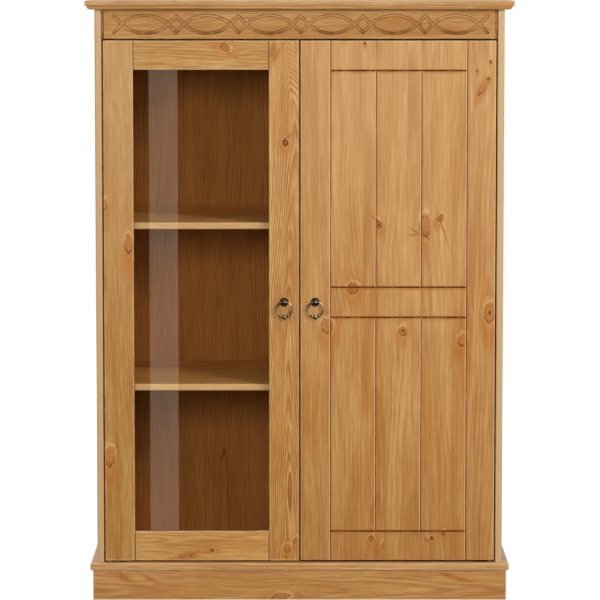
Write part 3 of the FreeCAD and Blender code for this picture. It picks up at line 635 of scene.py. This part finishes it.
def stainAndShadeInCuts(tree, colour, point, parts, frontFace, look):
    # Dark colour in milled cuts, partly real stain and partly painted shade, by how deep a point lies behind
    # the front face
    cut = look["cutStain"]
    behind = minus(tree, parts["y"], frontFace)
    inCut = fade(tree, behind, cut["start"], cut["end"])
    base = fade(tree, behind, cut["floor"], cut["floor"] + milling["floorSoftness"])
    tip = cut["tip"]
    floorFill = fade(tree, parts["z"], tip + milling["tipReach"], tip, cut["floorFill"], milling["tipFill"])
    fill = times(tree, floorFill, base)
    fill = plus(tree, fill, times(tree, minus(tree, 1.0, base), cut["fill"]))
    towards = separate(tree, facing(tree))
    rightward, upward = towards[0], towards[2]
    lit = fade(tree, most(tree, rightward, upward), *milling["litFade"])  # painted light: walls facing right or up, towards the key lamp, take less of the dark and stay paler
    fill = times(tree, fill, minus(tree, 1.0, times(tree, lit, cut["litRelief"])))
    for level in cut["levels"]:  # the level grooves are fullest
        near = fade(tree, maths(tree, "ABSOLUTE", minus(tree, parts["z"], level)), *milling["levelReach"])
        fill = most(tree, fill, times(tree, near, cut["levelFill"]))
    uneven = fade(tree, noise(tree, point, *milling["unevenNoise"]), *milling["unevenFade"])
    # bands beside the grooves, partly soaked stain and partly painted shade
    if cut["soaked"]:
        drawnOut = vectorMaths(tree, "MULTIPLY", point, milling["soakStretch"])
        patches = fade(tree, noise(tree, drawnOut, *milling["soakNoise"]), *milling["soakFade"])
        bands = times(tree, soakedAndShadedBands(tree, parts, cut), patches)
        colour = tinted(tree, colour, bands, cut["soaked"], look["soaked"])
    colour = tinted(tree, colour, times(tree, inCut, fill), uneven, look["stain"])
    # painted highlight on the cut walls that face right, towards the key lamp
    lip = times(tree, fade(tree, rightward, *milling["lipFade"]), inCut)
    return tinted(tree, colour, lip, cut["lip"], look["worn"])


def grainColour(tree, grain, strip, look):
    tone = times(tree, grain["Tone"], look["toneDepth"])
    colour = mixColour(tree, tone, paint(*look["early"]), paint(*look["warm"]))
    if strip:
        stave = mixColour(tree, strip["Strip Tone"], paint(*look["stripPale"]), paint(*look["stripDeep"]))
        colour = mixColour(tree, look["stripDepth"], colour, stave)
    colour = tinted(tree, colour, grain["Pale"], look["paleDepth"], look["flame"])
    colour = tinted(tree, colour, grain["Rings"], look["ringDepth"], look["late"])
    colour = tinted(tree, colour, minus(tree, 1.0, grain["Fibre"]), look["fibreDepth"], look["late"])
    return tinted(tree, colour, grain["Flame"], look["flameDepth"], look["flame"])


def paintedSheenAndShade(tree, colour, parts, look):
    if look["bleach"]:  # painted sheen: paler towards the top of the doors
        light = fade(tree, parts["z"], *marksOf["bleachHeights"], 0.0, look["bleach"])
        colour = mixColour(tree, light, colour, paint(*look["bleached"]))
    if look["foot"]:  # painted shade: browner towards the foot
        shade = fade(tree, parts["z"], *marksOf["footHeights"], 0.0, look["foot"])
        colour = mixColour(tree, shade, colour, paint(*look["late"]))
    return colour


def edgeColours(tree, colour, point, parts, low, high, look):
    # worn edges, partly a painted highlight on the arrises
    wear = place(tree, edgeWear, position=point, lowCorner=tuple(low), highCorner=tuple(high),
                 width=look["wearWidth"])["Wear"]
    colour = tinted(tree, colour, wear, look["wearDepth"], look["worn"])
    if look["frontEdge"]:
        front = fade(tree, minus(tree, parts["y"], low.y), *marksOf["frontEdge"])
        colour = mixColour(tree, front, colour, paint(*look["frontEdge"]))
    if look["edgeStain"]:  # painted shade in the gaps: the door's narrow edges darker than its faces
        behind = minus(tree, parts["y"], low.y)
        edge = fade(tree, behind, *marksOf["edgeFront"])
        edge = times(tree, edge, fade(tree, behind, *marksOf["edgeBack"]))
        colour = tinted(tree, colour, edge, look["edgeStain"], look["edgeColour"])
    return colour


def nailRow(tree, colour, height, parts, across, along, low, high, look):
    nail = place(tree, nailHeads, across=across, along=along, lowAcross=low.x, highAcross=high.x,
                 lowAlong=low.z, highAlong=high.z)
    start, end = marksOf["nailRear"]
    rear = fade(tree, parts["y"], high.y - start, high.y - end)
    head = times(tree, nail["Head"], rear)
    colour = mixColour(tree, head, colour, paint(*look["nail"]))
    height = plus(tree, height, times(tree, nail["Dome"], rear, marksOf["nailRise"]))
    return colour, height, times(tree, head, marksOf["nailMetal"])


def pineBoard(nodeName, axes, **changes):
    # axes: across, along and depth of the grain as letters, such as "xzy" for an upright front board
    look = {**pine, **changes}
    material, tree, shader, point = newMaterial("pine_" + nodeName)
    low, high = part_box(nodeName)
    middle = {letter: (getattr(low, letter) + getattr(high, letter)) / 2 for letter in "xyz"}
    parts = dict(zip("xyz", separate(tree, point)))
    across, along = parts[axes[0]], parts[axes[1]]
    depth = minus(tree, parts[axes[2]], middle[axes[2]])
    seed, heartDepth, strip = look["seed"], look["heartDepth"], None
    if look["knots"]:
        across, marks = placeKnots(tree, point, across, along, look)
    if look["stripWidth"]:
        layout = {name: look[name] for name in ("stripWidth", "firstEdge", "spread")}
        strip = place(tree, staves, across=across, seed=seed, **layout)
        local, seed = strip["Local Across"], strip["Strip Seed"]
        heartDepth = plus(tree, heartDepth, times(tree, strip["Strip Depth"], marksOf["staveDepth"]))
    else:
        local = minus(tree, across, middle[axes[0]])
    if look["crest"]:
        start, end, rise = look["crest"]  # nested arches where the heart sinks below the face
        heartDepth = plus(tree, heartDepth, fade(tree, along, start, end, 0.0, rise))
    growth = {name: look[name] for name in ("ringWidth", "heartAcross", "taper", "waviness", "lineStart")}
    grain = place(tree, pineGrain, across=local, along=along, depth=depth, heartDepth=heartDepth, seed=seed,
                  **growth)
    colour = grainColour(tree, grain, strip, look)
    colour = paintedSheenAndShade(tree, colour, parts, look)
    if look["knots"]:
        colour = knotColours(tree, colour, point, marks, look)
    if strip:
        colour = tinted(tree, colour, strip["Glue Line"], marksOf["glue"], look["glue"])
    for end in look["jointEnds"]:
        near = fade(tree, maths(tree, "ABSOLUTE", minus(tree, along, end)), *marksOf["jointReach"])
        colour = tinted(tree, colour, near, marksOf["joint"], look["jointLine"])
    colour = edgeColours(tree, colour, point, parts, low, high, look)
    if look["cutStain"]:
        colour = stainAndShadeInCuts(tree, colour, point, parts, low.y, look)
    height = minus(tree, grain["Fibre"], times(tree, grain["Rings"], marksOf["ringHeight"]))
    if look["nails"]:
        colour, height, metal = nailRow(tree, colour, height, parts, across, along, low, high, look)
        feed(tree, shader, metallic=metal)
    gloss = plus(tree, look["roughness"], times(tree, grain["Fibre"], marksOf["fibreGloss"]))
    gloss = plus(tree, gloss, times(tree, grain["Rings"], marksOf["ringGloss"]))
    feed(tree, shader, baseColor=colour, roughness=gloss, specularIORLevel=look["specular"],
         coatWeight=look["coat"], coatRoughness=marksOf["coatRoughness"])
    giveHeight(tree, shader, height, marksOf["bumpDepth"], look["bump"])
    dress(nodeName, material)


# The boards' own values. A knot is its place across and along the board and its radius in metres, how far it
# is drawn out, its turn in degrees, and how dead and dark it is.

glued = dict(stripWidth=0.0524)
glossless = dict(specular=0.2, coat=0.0)
inner = dict(stripWidth=0.0524, specular=0.12, coat=0.0)
side = dict(axes="yzx", early=(207, 162, 100), warm=(188, 132, 70), fibreDepth=0.36, **glued)
shelf = dict(axes="yxz", early=(236, 180, 104), warm=(222, 152, 72), frontEdge=(204, 160, 112), **inner)
# the cuts' dark colour is partly stain and partly painted shade; walls facing the key lamp take painted light
carved = dict(
    start=0.0, end=0.0003, floor=0.0018, fill=1.0, floorFill=0.04, tip=1.337, litRelief=0.1, lip=0.0,
    levels=(), levelFill=0.0, uprights=(), soaked=0.0)

carcass = {
    "top_board": dict(
        axes="yxz", seed=3.1, firstEdge=-0.21, spread=0.05, early=(204, 162, 102),
        warm=(186, 131, 72), worn=(216, 190, 156), **glued, knots=[
        (-0.030, 0.372, 0.0035, 1.3, 0, 0.9), (0.112, -0.236, 0.003, 1.2, 0, 0.8),
        (0.060, 0.118, 0.008, 1.7, -8, 0.2), (-0.118, -0.330, 0.010, 1.8, 6, 0.1),
        (0.146, 0.262, 0.009, 1.5, 4, 0.0), (-0.072, -0.052, 0.007, 1.6, -5, 0.3),
    ]),
    "left_side_panel": dict(seed=5.2, frontEdge=(192, 158, 116), **side, knots=[
        (0.118, 0.492, 0.003, 1.3, 0, 0.9), (-0.124, 0.655, 0.0035, 1.2, 0, 0.8),
        (-0.088, 1.066, 0.009, 1.8, 6, 0.1), (0.072, 0.744, 0.008, 1.6, -5, 0.4),
        (0.020, 0.342, 0.011, 2.0, 4, 0.0), (0.134, 1.218, 0.007, 1.5, 0, 0.2),
    ]),
    "right_side_panel": dict(seed=8.4, frontEdge=(198, 167, 125), **side, knots=[
        (-0.058, 0.858, 0.003, 1.3, 0, 0.9), (0.142, 0.388, 0.0035, 1.2, 0, 0.8),
        (0.094, 1.142, 0.009, 1.8, -6, 0.1), (-0.132, 0.930, 0.008, 1.6, 5, 0.4),
        (-0.026, 0.516, 0.011, 1.9, -4, 0.0), (0.040, 0.214, 0.007, 1.5, 0, 0.2),
    ]),
    "centre_partition": dict(axes="yzx", seed=1.7, **inner),
    "base_board": dict(
        axes="yxz", seed=9.3, firstEdge=-0.2, spread=0.05, early=(210, 168, 114),
        warm=(194, 146, 88), **glued),
    "frieze_board": dict(
        axes="zxy", seed=4.4, heartAcross=0.07, heartDepth=0.04, ringWidth=0.004, ringDepth=0.45,
        wearDepth=0.25, early=(189, 144, 89), warm=(171, 119, 63), specular=0.05, coat=0.0,
        cutStain=carved),
    "plinth_front": dict(
        axes="zxy", seed=6.5, flameDepth=0.1, toneDepth=0.5, heartAcross=-0.02, heartDepth=0.03,
        taper=0.03, early=(194, 144, 82), warm=(175, 118, 55), knots=[
        (0.004, -0.047, 0.011, 1.9, -15, 0.25), (0.049, -0.409, 0.0042, 4.2, 25, 0.15),
        (0.057, -0.415, 0.002, 6.0, 40, 0.2), (0.047, -0.347, 0.0022, 8.0, 27, 0.2),
        (0.054, 0.362, 0.0035, 5.0, 20, 0.1), (0.046, 0.392, 0.003, 5.0, 15, 0.2),
        (0.060, 0.350, 0.0018, 8.0, 8, 0.2),
    ]),
    "plinth_left_side": dict(axes="zyx", seed=2.2),
    "plinth_right_side": dict(axes="zyx", seed=2.9),
    "plinth_rear_rail": dict(axes="zxy", seed=7.7),
    "top_rear_rail": dict(axes="zxy", seed=7.1, **glossless),
    "left_upper_shelf": dict(seed=11.0, **shelf),
    "left_lower_shelf": dict(seed=12.0, **shelf),
    "right_upper_shelf": dict(seed=13.0, **shelf),
    "right_lower_shelf": dict(seed=14.0, **shelf),
    "plinth_corner_blocks": dict(axes="zxy", seed=15.0, **glossless),
    "frieze_glue_blocks": dict(axes="zxy", seed=15.0, **glossless),
}

panelLow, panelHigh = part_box("right_door_panel")
firstGroove, lastGroove = panelLow.x + milling["innerMargin"], panelHigh.x - milling["outerMargin"]
plankWidth = (lastGroove - firstGroove) / milling["planks"]
railMiddle = (panelLow.z + panelHigh.z) / 2
endMargin, halfRail = milling["endMargin"], milling["halfRail"]
levels = (panelHigh.z - endMargin, railMiddle + halfRail, railMiddle - halfRail, panelLow.z + endMargin)
# the grooves' dark colour is partly stain and partly painted shade; walls facing the key lamp take painted
# light
milled = dict(
    start=0.0001, end=0.0007, floor=0.0026, fill=0.95, floorFill=0.5, tip=-1.0, litRelief=1.0, lip=0.8,
    levels=levels, levelFill=0.9, soaked=0.6,
    uprights=[firstGroove + plankWidth * number for number in range(milling["planks"] + 1)])
# painted shade on the doors' edges, in the gaps
door = dict(edgeStain=0.9, specular=0.08)
stile = dict(axes="xzy", **door)
rail = dict(axes="zxy", flameDepth=0.15, jointEnds=(-0.389, -0.0715), **door)

# some boards take a painted sheen towards the top, the right door also a painted shade towards the foot
doors = {
    "left_door_outer_stile": dict(
        seed=21.0, heartAcross=-0.09, heartDepth=0.03, ringWidth=0.004, bleach=0.2,
        early=(188, 144, 82), warm=(166, 110, 50), **stile, knots=[
        (-0.401, 0.844, 0.0095, 2.2, 0, 0.0), (-0.456, 0.937, 0.007, 1.8, 0, 0.1),
        (-0.448, 0.341, 0.0105, 2.1, 0, 0.0),
    ]),
    "left_door_inner_stile": dict(
        seed=23.5, heartAcross=0.012, heartDepth=0.022, taper=0.05, ringWidth=0.0046,
        crest=(1.17, 1.345, 0.05), bleach=0.1, ringDepth=0.95, paleDepth=0.6,
        waviness=0.008, early=(199, 151, 85), **stile, knots=[
        (-0.033, 1.081, 0.0072, 1.1, 0, 0.95), (-0.0255, 1.0975, 0.0013, 8.0, -55, 0.3),
        (-0.062, 1.298, 0.0045, 4.0, -14, 0.25), (-0.053, 1.288, 0.0028, 5.0, -28, 0.1),
        (-0.009, 0.141, 0.006, 1.4, 0, 0.2), (-0.027, 0.122, 0.008, 1.2, 0, 0.0),
    ]),
    "left_door_top_rail": dict(
        seed=25.0, heartAcross=-0.05, heartDepth=0.03, early=(197, 156, 94),
        warm=(174, 121, 60), **rail, knots=[
        (1.303, -0.174, 0.0075, 1.6, 20, 0.3), (1.290, -0.156, 0.0035, 4.5, 35, 0.0),
        (1.314, -0.162, 0.0015, 8.0, -12, 0.3),
    ]),
    "left_door_bottom_rail": dict(
        seed=27.0, heartAcross=0.012, heartDepth=0.02, ringWidth=0.005, ringDepth=0.65,
        early=(206, 162, 96), warm=(186, 126, 60), **rail, knots=[
        (0.117, -0.207, 0.0045, 1.2, 0, 0.9), (0.1045, -0.270, 0.0042, 3.8, -21, 0.25),
        (0.111, -0.246, 0.003, 4.2, -25, 0.1), (0.102, -0.250, 0.0028, 3.5, -12, 0.0),
    ]),
    "left_door_glazing_beads": dict(axes="xzy", seed=29.0),
    "right_door_panel": dict(
        seed=31.0, stripWidth=0.0524, firstEdge=-0.0094, cutStain=milled, ringDepth=0.32,
        paleDepth=0.2, fibreDepth=0.36, flameDepth=0.42, toneDepth=0.85, bleach=0.2,
        foot=0.22, early=(197, 153, 93), warm=(171, 108, 46), stain=(98, 38, 0),
        **stile, knots=[
        (0.152, 1.313, 0.003, 1.3, 0, 0.9), (0.186, 0.888, 0.0026, 1.2, 0, 1.0),
        (0.176, 0.902, 0.0014, 8.0, 50, 0.8), (0.284, 0.867, 0.0036, 1.3, 0, 0.6),
        (0.271, 0.8735, 0.0014, 9.0, 63, 0.5), (0.270, 0.865, 0.0012, 10.0, 97, 0.5),
        (0.296, 0.8595, 0.0014, 8.0, 57, 0.5), (0.334, 0.885, 0.0014, 12.0, 18, 0.4),
        (0.446, 1.270, 0.0032, 1.3, 0, 0.8), (0.415, 1.249, 0.0028, 1.3, 0, 0.8),
        (0.441, 1.232, 0.0032, 1.3, 0, 0.8), (0.431, 1.2125, 0.0062, 3.6, -32, 0.0),
        (0.243, 0.640, 0.0026, 1.2, 0, 1.0), (0.447, 0.681, 0.0028, 1.3, 0, 1.0),
        (0.303, 0.138, 0.0016, 8.0, 45, 0.8), (0.312, 0.146, 0.0045, 1.2, 0, 0.9),
        (0.340, 0.158, 0.005, 1.2, 0, 0.7), (0.170, 0.145, 0.006, 1.2, 0, 0.5),
        (0.199, 0.129, 0.006, 1.3, 0, 0.2), (0.185, 0.891, 0.0065, 1.6, 20, 0.35),
        (0.2946, 0.888, 0.0125, 2.05, 0, 0.1), (0.330, 0.905, 0.006, 1.6, -30, 0.5),
        (0.124, 0.739, 0.0125, 1.0, 0, 0.35), (0.064, 0.649, 0.013, 1.2, 0, 0.0),
        (0.243, 0.638, 0.0095, 1.1, 0, 0.2), (0.383, 0.617, 0.010, 1.4, -20, 0.05),
        (0.446, 0.680, 0.011, 2.0, 0, 0.0),
    ]),
}

stained = dict(
    late=(84, 42, 16), flame=(184, 118, 64), worn=(184, 118, 64), coat=0.0, specular=0.03,
    roughness=0.6, bump=0.15, wearDepth=0.2, ringDepth=0.75, lineStart=0.72, paleDepth=0.1,
    toneDepth=0.4, fibreDepth=0.25, flameDepth=0.0)
backPanel = dict(
    axes="xzy", early=(170, 108, 52), warm=(150, 90, 40), taper=0.03, heartDepth=0.014,
    ringWidth=0.0075, waviness=0.009, nails=True, **stained)
backStrip = dict(axes="zxy", early=(158, 94, 42), warm=(138, 78, 32), seed=15.0, **stained)
beech = dict(early=(205, 172, 132), warm=(196, 158, 118), late=(172, 130, 90), flame=(214, 184, 146),
             ringWidth=0.002, coat=0.0, wearDepth=0.0)

insides = {
    "left_back_panel": dict(seed=41.0, heartAcross=0.045, **backPanel),
    "right_back_panel": dict(seed=43.0, heartAcross=-0.03, **backPanel),
    "left_shelf_strips": backStrip,
    "right_shelf_strips": backStrip,
    "top_dowels": dict(axes="xzy", **beech),
    "base_dowels": dict(axes="xzy", **beech),
    "frieze_dowels": dict(axes="yxz", **beech),
}

for boards in (carcass, doors, insides):
    for nodeName, values in boards.items():
        pineBoard(nodeName, **values)
print("wood finished")


# Ring pulls in antiqued brass

brass = {
    "bright": (204, 178, 136),
    "dull": (36, 25, 16),
    "ball": (146, 128, 116),
    "worn": (84, 62, 46),
    "black": (30, 20, 15),
    "metallic": 0.9,
    "roughness": 0.3,
    "tarnishRoughness": 0.22,
    "tarnishDepth": 0.7,
    "patchSize": 0.0035,
    # the next two: the side facing the key lamp, which takes the painted highlight, and the fade into painted
    # shade elsewhere
    "rubbedSide": (0.5, -0.75, 0.43),
    "sheltered": (0.99, 0.66),
    "pits": (900.0, 3.0),
    "pitFade": (0.58, 0.7),
    "scratchDepth": 0.00008,
    "scratches": 0.35,
}
pullParts = {  # how much tarnish, then the bright and the dark colour
    # the rosette's bright colour is partly worn metal and partly a painted highlight
    "rosette": (0.75, "worn", "black"),
    "stud": (0.5, "ball", "dull"),
    "ring": (0.6, "bright", "dull"),
}


def finishMetal(tree, shader, aged, colour, look, wear):
    gloss = plus(tree, look["roughness"], times(tree, aged["Tarnish"], wear["tarnishRoughness"]))
    feed(tree, shader, baseColor=colour, roughness=gloss, metallic=look["metallic"])
    giveHeight(tree, shader, aged["Scratches"], wear["scratchDepth"], wear["scratches"])


def antiqueBrass(nodeName, amount, bright, dull):
    material, tree, shader, point = newMaterial("antiqued_brass_" + nodeName)
    aged = place(tree, tarnish, position=point, patchSize=brass["patchSize"], amount=amount)
    towards = vectorMaths(tree, "DOT_PRODUCT", facing(tree), brass["rubbedSide"], result="Value")
    sheltered = fade(tree, towards, *brass["sheltered"])  # painted light: the side facing the key lamp stays bright as a painted highlight, the rest takes painted shade
    dark = most(tree, times(tree, aged["Tarnish"], brass["tarnishDepth"]), sheltered)
    colour = mixColour(tree, dark, paint(*brass[bright]), paint(*brass[dull]))
    pits = fade(tree, noise(tree, point, *brass["pits"]), *brass["pitFade"])
    colour = mixColour(tree, pits, colour, paint(*brass["black"]))
    finishMetal(tree, shader, aged, colour, brass, brass)
    dress(nodeName, material)


for doorSide in ("left", "right"):
    for part, (amount, bright, dull) in pullParts.items():
        antiqueBrass(doorSide + "_pull_" + part, amount, bright, dull)


# Plain fittings

fittings = {
    "zincSteel": {"colour": (170, 172, 172), "dull": (122, 122, 120), "metallic": 1.0, "roughness": 0.42},
    "bronzedSteel": {"colour": (78, 66, 52), "dull": (52, 42, 32), "metallic": 1.0, "roughness": 0.5},
    "turnedBrass": {"colour": (118, 94, 52), "dull": (84, 64, 36), "metallic": 1.0, "roughness": 0.45},
    "brownPlastic": {"colour": (84, 56, 38), "dull": (66, 42, 28), "metallic": 0.0, "roughness": 0.55},
    "feltPad": {"colour": (134, 112, 88), "dull": (98, 78, 58), "metallic": 0.0, "roughness": 0.95},
}
fittingNodes = {
    "zincSteel": ["pivot_screws", "catch_screws", "left_pull_screw", "right_pull_screw", "left_shelf_pins",
                  "right_shelf_pins", "left_strike_plate", "right_strike_plate"],
    "bronzedSteel": ["left_lower_pivot", "right_lower_pivot", "left_upper_pivot", "right_upper_pivot"],
    "turnedBrass": ["left_door_pivot_bushes", "right_door_pivot_bushes"],
    "brownPlastic": ["left_magnetic_catch", "right_magnetic_catch", "pivot_washers"],
    "feltPad": ["door_bumpers"],
}
fittingPatches = {"patchSize": 0.006, "amount": 0.5}
fittingWear = {"tarnishRoughness": 0.1, "scratchDepth": 0.00005, "scratches": 0.4}


def plainFitting(name, look):
    material, tree, shader, point = newMaterial(name)
    aged = place(tree, tarnish, position=point, **fittingPatches)
    colour = mixColour(tree, aged["Tarnish"], paint(*look["colour"]), paint(*look["dull"]))
    finishMetal(tree, shader, aged, colour, look, fittingWear)
    return material


for name, look in fittings.items():
    finish = plainFitting(name, look)
    for nodeName in fittingNodes[name]:
        dress(nodeName, finish)
print("fittings finished")


# Glass of the left door

pane = {
    "tint": (246, 250, 247),
    "smear": (236, 242, 238),
    "smearStretch": (1.0, 1.0, 0.3),
    "smearNoise": (16.0, 3.0),
    "smearFade": (0.4, 0.7),
    "roughFade": (0.45, 0.75),
    "roughness": 0.012,
    "refraction": 1.45,
    "clearShare": 0.9,
}


def dressGlass():
    material, tree, shader, point = newMaterial("clear_glass")
    drawnOut = vectorMaths(tree, "MULTIPLY", point, pane["smearStretch"])
    wiped = noise(tree, drawnOut, *pane["smearNoise"])
    smears = fade(tree, wiped, *pane["smearFade"])
    colour = mixColour(tree, smears, paint(*pane["tint"]), paint(*pane["smear"]))
    rough = times(tree, fade(tree, wiped, *pane["roughFade"]), pane["roughness"])
    feed(tree, shader, baseColor=colour, roughness=rough, transmissionWeight=1.0, IOR=pane["refraction"])
    rays = tree.nodes.new("ShaderNodeLightPath")  # light passes straight through to the shelves
    straight = most(tree, rays.outputs["Is Shadow Ray"], rays.outputs["Is Diffuse Ray"])
    solid = minus(tree, 1.0, times(tree, straight, pane["clearShare"]))
    feed(tree, shader, alpha=solid)
    dress("left_door_glass", material)


dressGlass()
print("glass finished")


# Studio: floor, world, soft lamps, and two cards that only the gloss of the glass sees

studio = {
    "floorSize": 14.0,
    "floorColour": (172, 172, 172),
    "floorRoughness": 0.9,
    "floorLift": 0.78,
    "worldLight": 0.4,
    "white": (1.0, 1.0, 1.0, 1.0),
}
lamps = {
    "keySoftbox": dict(location=(3.5, -4.8, 3.4), aim=(0.0, 0.0, 0.8), size=(1.6, 1.6), watts=200.0),
    "frontSoftbox": dict(location=(-1.2, -6.5, 2.35), aim=(0.0, 0.0, 0.8), size=(2.4, 1.5), watts=165.0),
    "backSoftbox": dict(location=(-3.0, 5.0, 3.4), aim=(0.0, 0.0, 0.7), size=(2.4, 1.8), watts=170.0),
}
cards = {  # upright cards in front of the cabinet: left, right, how far forward, bottom, top
    "darkFlag": dict(
        edges=(-2.6, 2.6, -9.3, -3.2, 1.5), glow="flag_black", colour=(0.0, 0.0, 0.0, 1.0), strength=0.0),
    "lightStrip": dict(
        edges=(-0.741, -0.598, -9.2, -2.0, 1.45), glow="strip_warm", colour=(1.0, 0.73, 0.54, 1.0),
        strength=1.5),
}


def flatCard(name, corners, material):
    mesh = bpy.data.meshes.new(name)
    mesh.from_pydata(corners, [], [(0, 1, 2, 3)])
    card = bpy.data.objects.new(name, mesh)
    bpy.context.scene.collection.objects.link(card)
    mesh.materials.append(material)
    return card


def afterGloss(tree):
    # 1 for rays that have met a mirror surface, also one inside the pane
    rays = tree.nodes.new("ShaderNodeLightPath")
    return maths(tree, "GREATER_THAN", rays.outputs["Glossy Depth"], 0.5)


def glowing(name, colour, strength):
    material = bpy.data.materials.new(name)
    material.use_nodes = True
    tree = material.node_tree
    tree.nodes.remove(tree.nodes["Principled BSDF"])
    light = tree.nodes.new("ShaderNodeEmission")
    light.inputs["Color"].default_value = colour
    light.inputs["Strength"].default_value = strength
    mix = tree.nodes.new("ShaderNodeMixShader")
    clear = tree.nodes.new("ShaderNodeBsdfTransparent")
    tree.links.new(afterGloss(tree), mix.inputs[0])
    tree.links.new(clear.outputs[0], mix.inputs[1])
    tree.links.new(light.outputs[0], mix.inputs[2])
    tree.links.new(mix.outputs[0], tree.nodes["Material Output"].inputs["Surface"])
    return material


def seenWhite(tree):
    # 1 for the rays that should see a white studio: from the camera, through glass and off gloss
    rays = tree.nodes.new("ShaderNodeLightPath")
    seen = most(tree, rays.outputs["Is Camera Ray"], rays.outputs["Is Transmission Ray"])
    return most(tree, seen, rays.outputs["Is Glossy Ray"])


def makeFloor():
    material, tree, shader = newMaterial("studio_floor")[:3]
    lift = times(tree, seenWhite(tree), studio["floorLift"])
    solid = minus(tree, 1.0, afterGloss(tree))
    feed(tree, shader, baseColor=paint(*studio["floorColour"]), roughness=studio["floorRoughness"],
         specularIORLevel=0.0, emissionColor=studio["white"], emissionStrength=lift, alpha=solid)
    half = studio["floorSize"] / 2
    corners = [(-half, -half, 0), (half, -half, 0), (half, half, 0), (-half, half, 0)]
    floor = flatCard("studioFloor", corners, material)
    floor.visible_glossy = False  # gloss sees the white world below the horizon as well


def makeWorld():
    world = bpy.data.worlds.new("studioWorld")
    bpy.context.scene.world = world
    world.use_nodes = True
    tree = world.node_tree
    tree.nodes.clear()
    light = tree.nodes.new("ShaderNodeBackground")
    light.inputs["Strength"].default_value = studio["worldLight"]
    white = tree.nodes.new("ShaderNodeBackground")
    for background in (light, white):
        background.inputs["Color"].default_value = studio["white"]
    mix = tree.nodes.new("ShaderNodeMixShader")
    tree.links.new(seenWhite(tree), mix.inputs[0])
    tree.links.new(light.outputs[0], mix.inputs[1])
    tree.links.new(white.outputs[0], mix.inputs[2])
    out = tree.nodes.new("ShaderNodeOutputWorld")
    tree.links.new(mix.outputs[0], out.inputs["Surface"])


def softLamp(name, location, aim, size, watts):
    lamp = bpy.data.lights.new(name, "AREA")
    lamp.shape = "RECTANGLE"
    lamp.size, lamp.size_y = size
    lamp.energy = watts
    holder = bpy.data.objects.new(name, lamp)
    bpy.context.scene.collection.objects.link(holder)
    holder.location = location
    forward = Vector(aim) - Vector(location)
    holder.rotation_euler = forward.to_track_quat("-Z", "Y").to_euler()


def makeCard(name, edges, glow, colour, strength):
    left, right, forward, bottom, top = edges
    corners = [(left, forward, bottom), (right, forward, bottom), (right, forward, top), (left, forward, top)]
    card = flatCard(name, corners, glowing(glow, colour, strength))
    card.visible_camera = False
    card.visible_diffuse = False
    card.visible_shadow = False
    card.visible_volume_scatter = False


makeFloor()
makeWorld()
for name, card in cards.items():
    makeCard(name, **card)
for name, lamp in lamps.items():
    softLamp(name, **lamp)


# Camera: the photograph's place, 8 m in front and a little above the cabinet's top

cameraLook = {
    "place": (-0.007, -8.2, 1.5045),
    "tiltDown": 5.645,
    "turn": -0.057,
    "lens": 206.06,
    "sensor": 36.0,
    "reach": 100.0,
}


def makeCamera():
    data = bpy.data.cameras.new("camera")
    data.lens = cameraLook["lens"]
    data.sensor_width = cameraLook["sensor"]
    data.clip_end = cameraLook["reach"]
    camera = bpy.data.objects.new("camera", data)
    bpy.context.scene.collection.objects.link(camera)
    camera.location = cameraLook["place"]
    camera.rotation_euler = (math.radians(90 - cameraLook["tiltDown"]), 0.0, math.radians(cameraLook["turn"]))
    bpy.context.scene.camera = camera


makeCamera()
bpy.context.scene.view_settings.view_transform = "Standard"
print("studio and camera set")
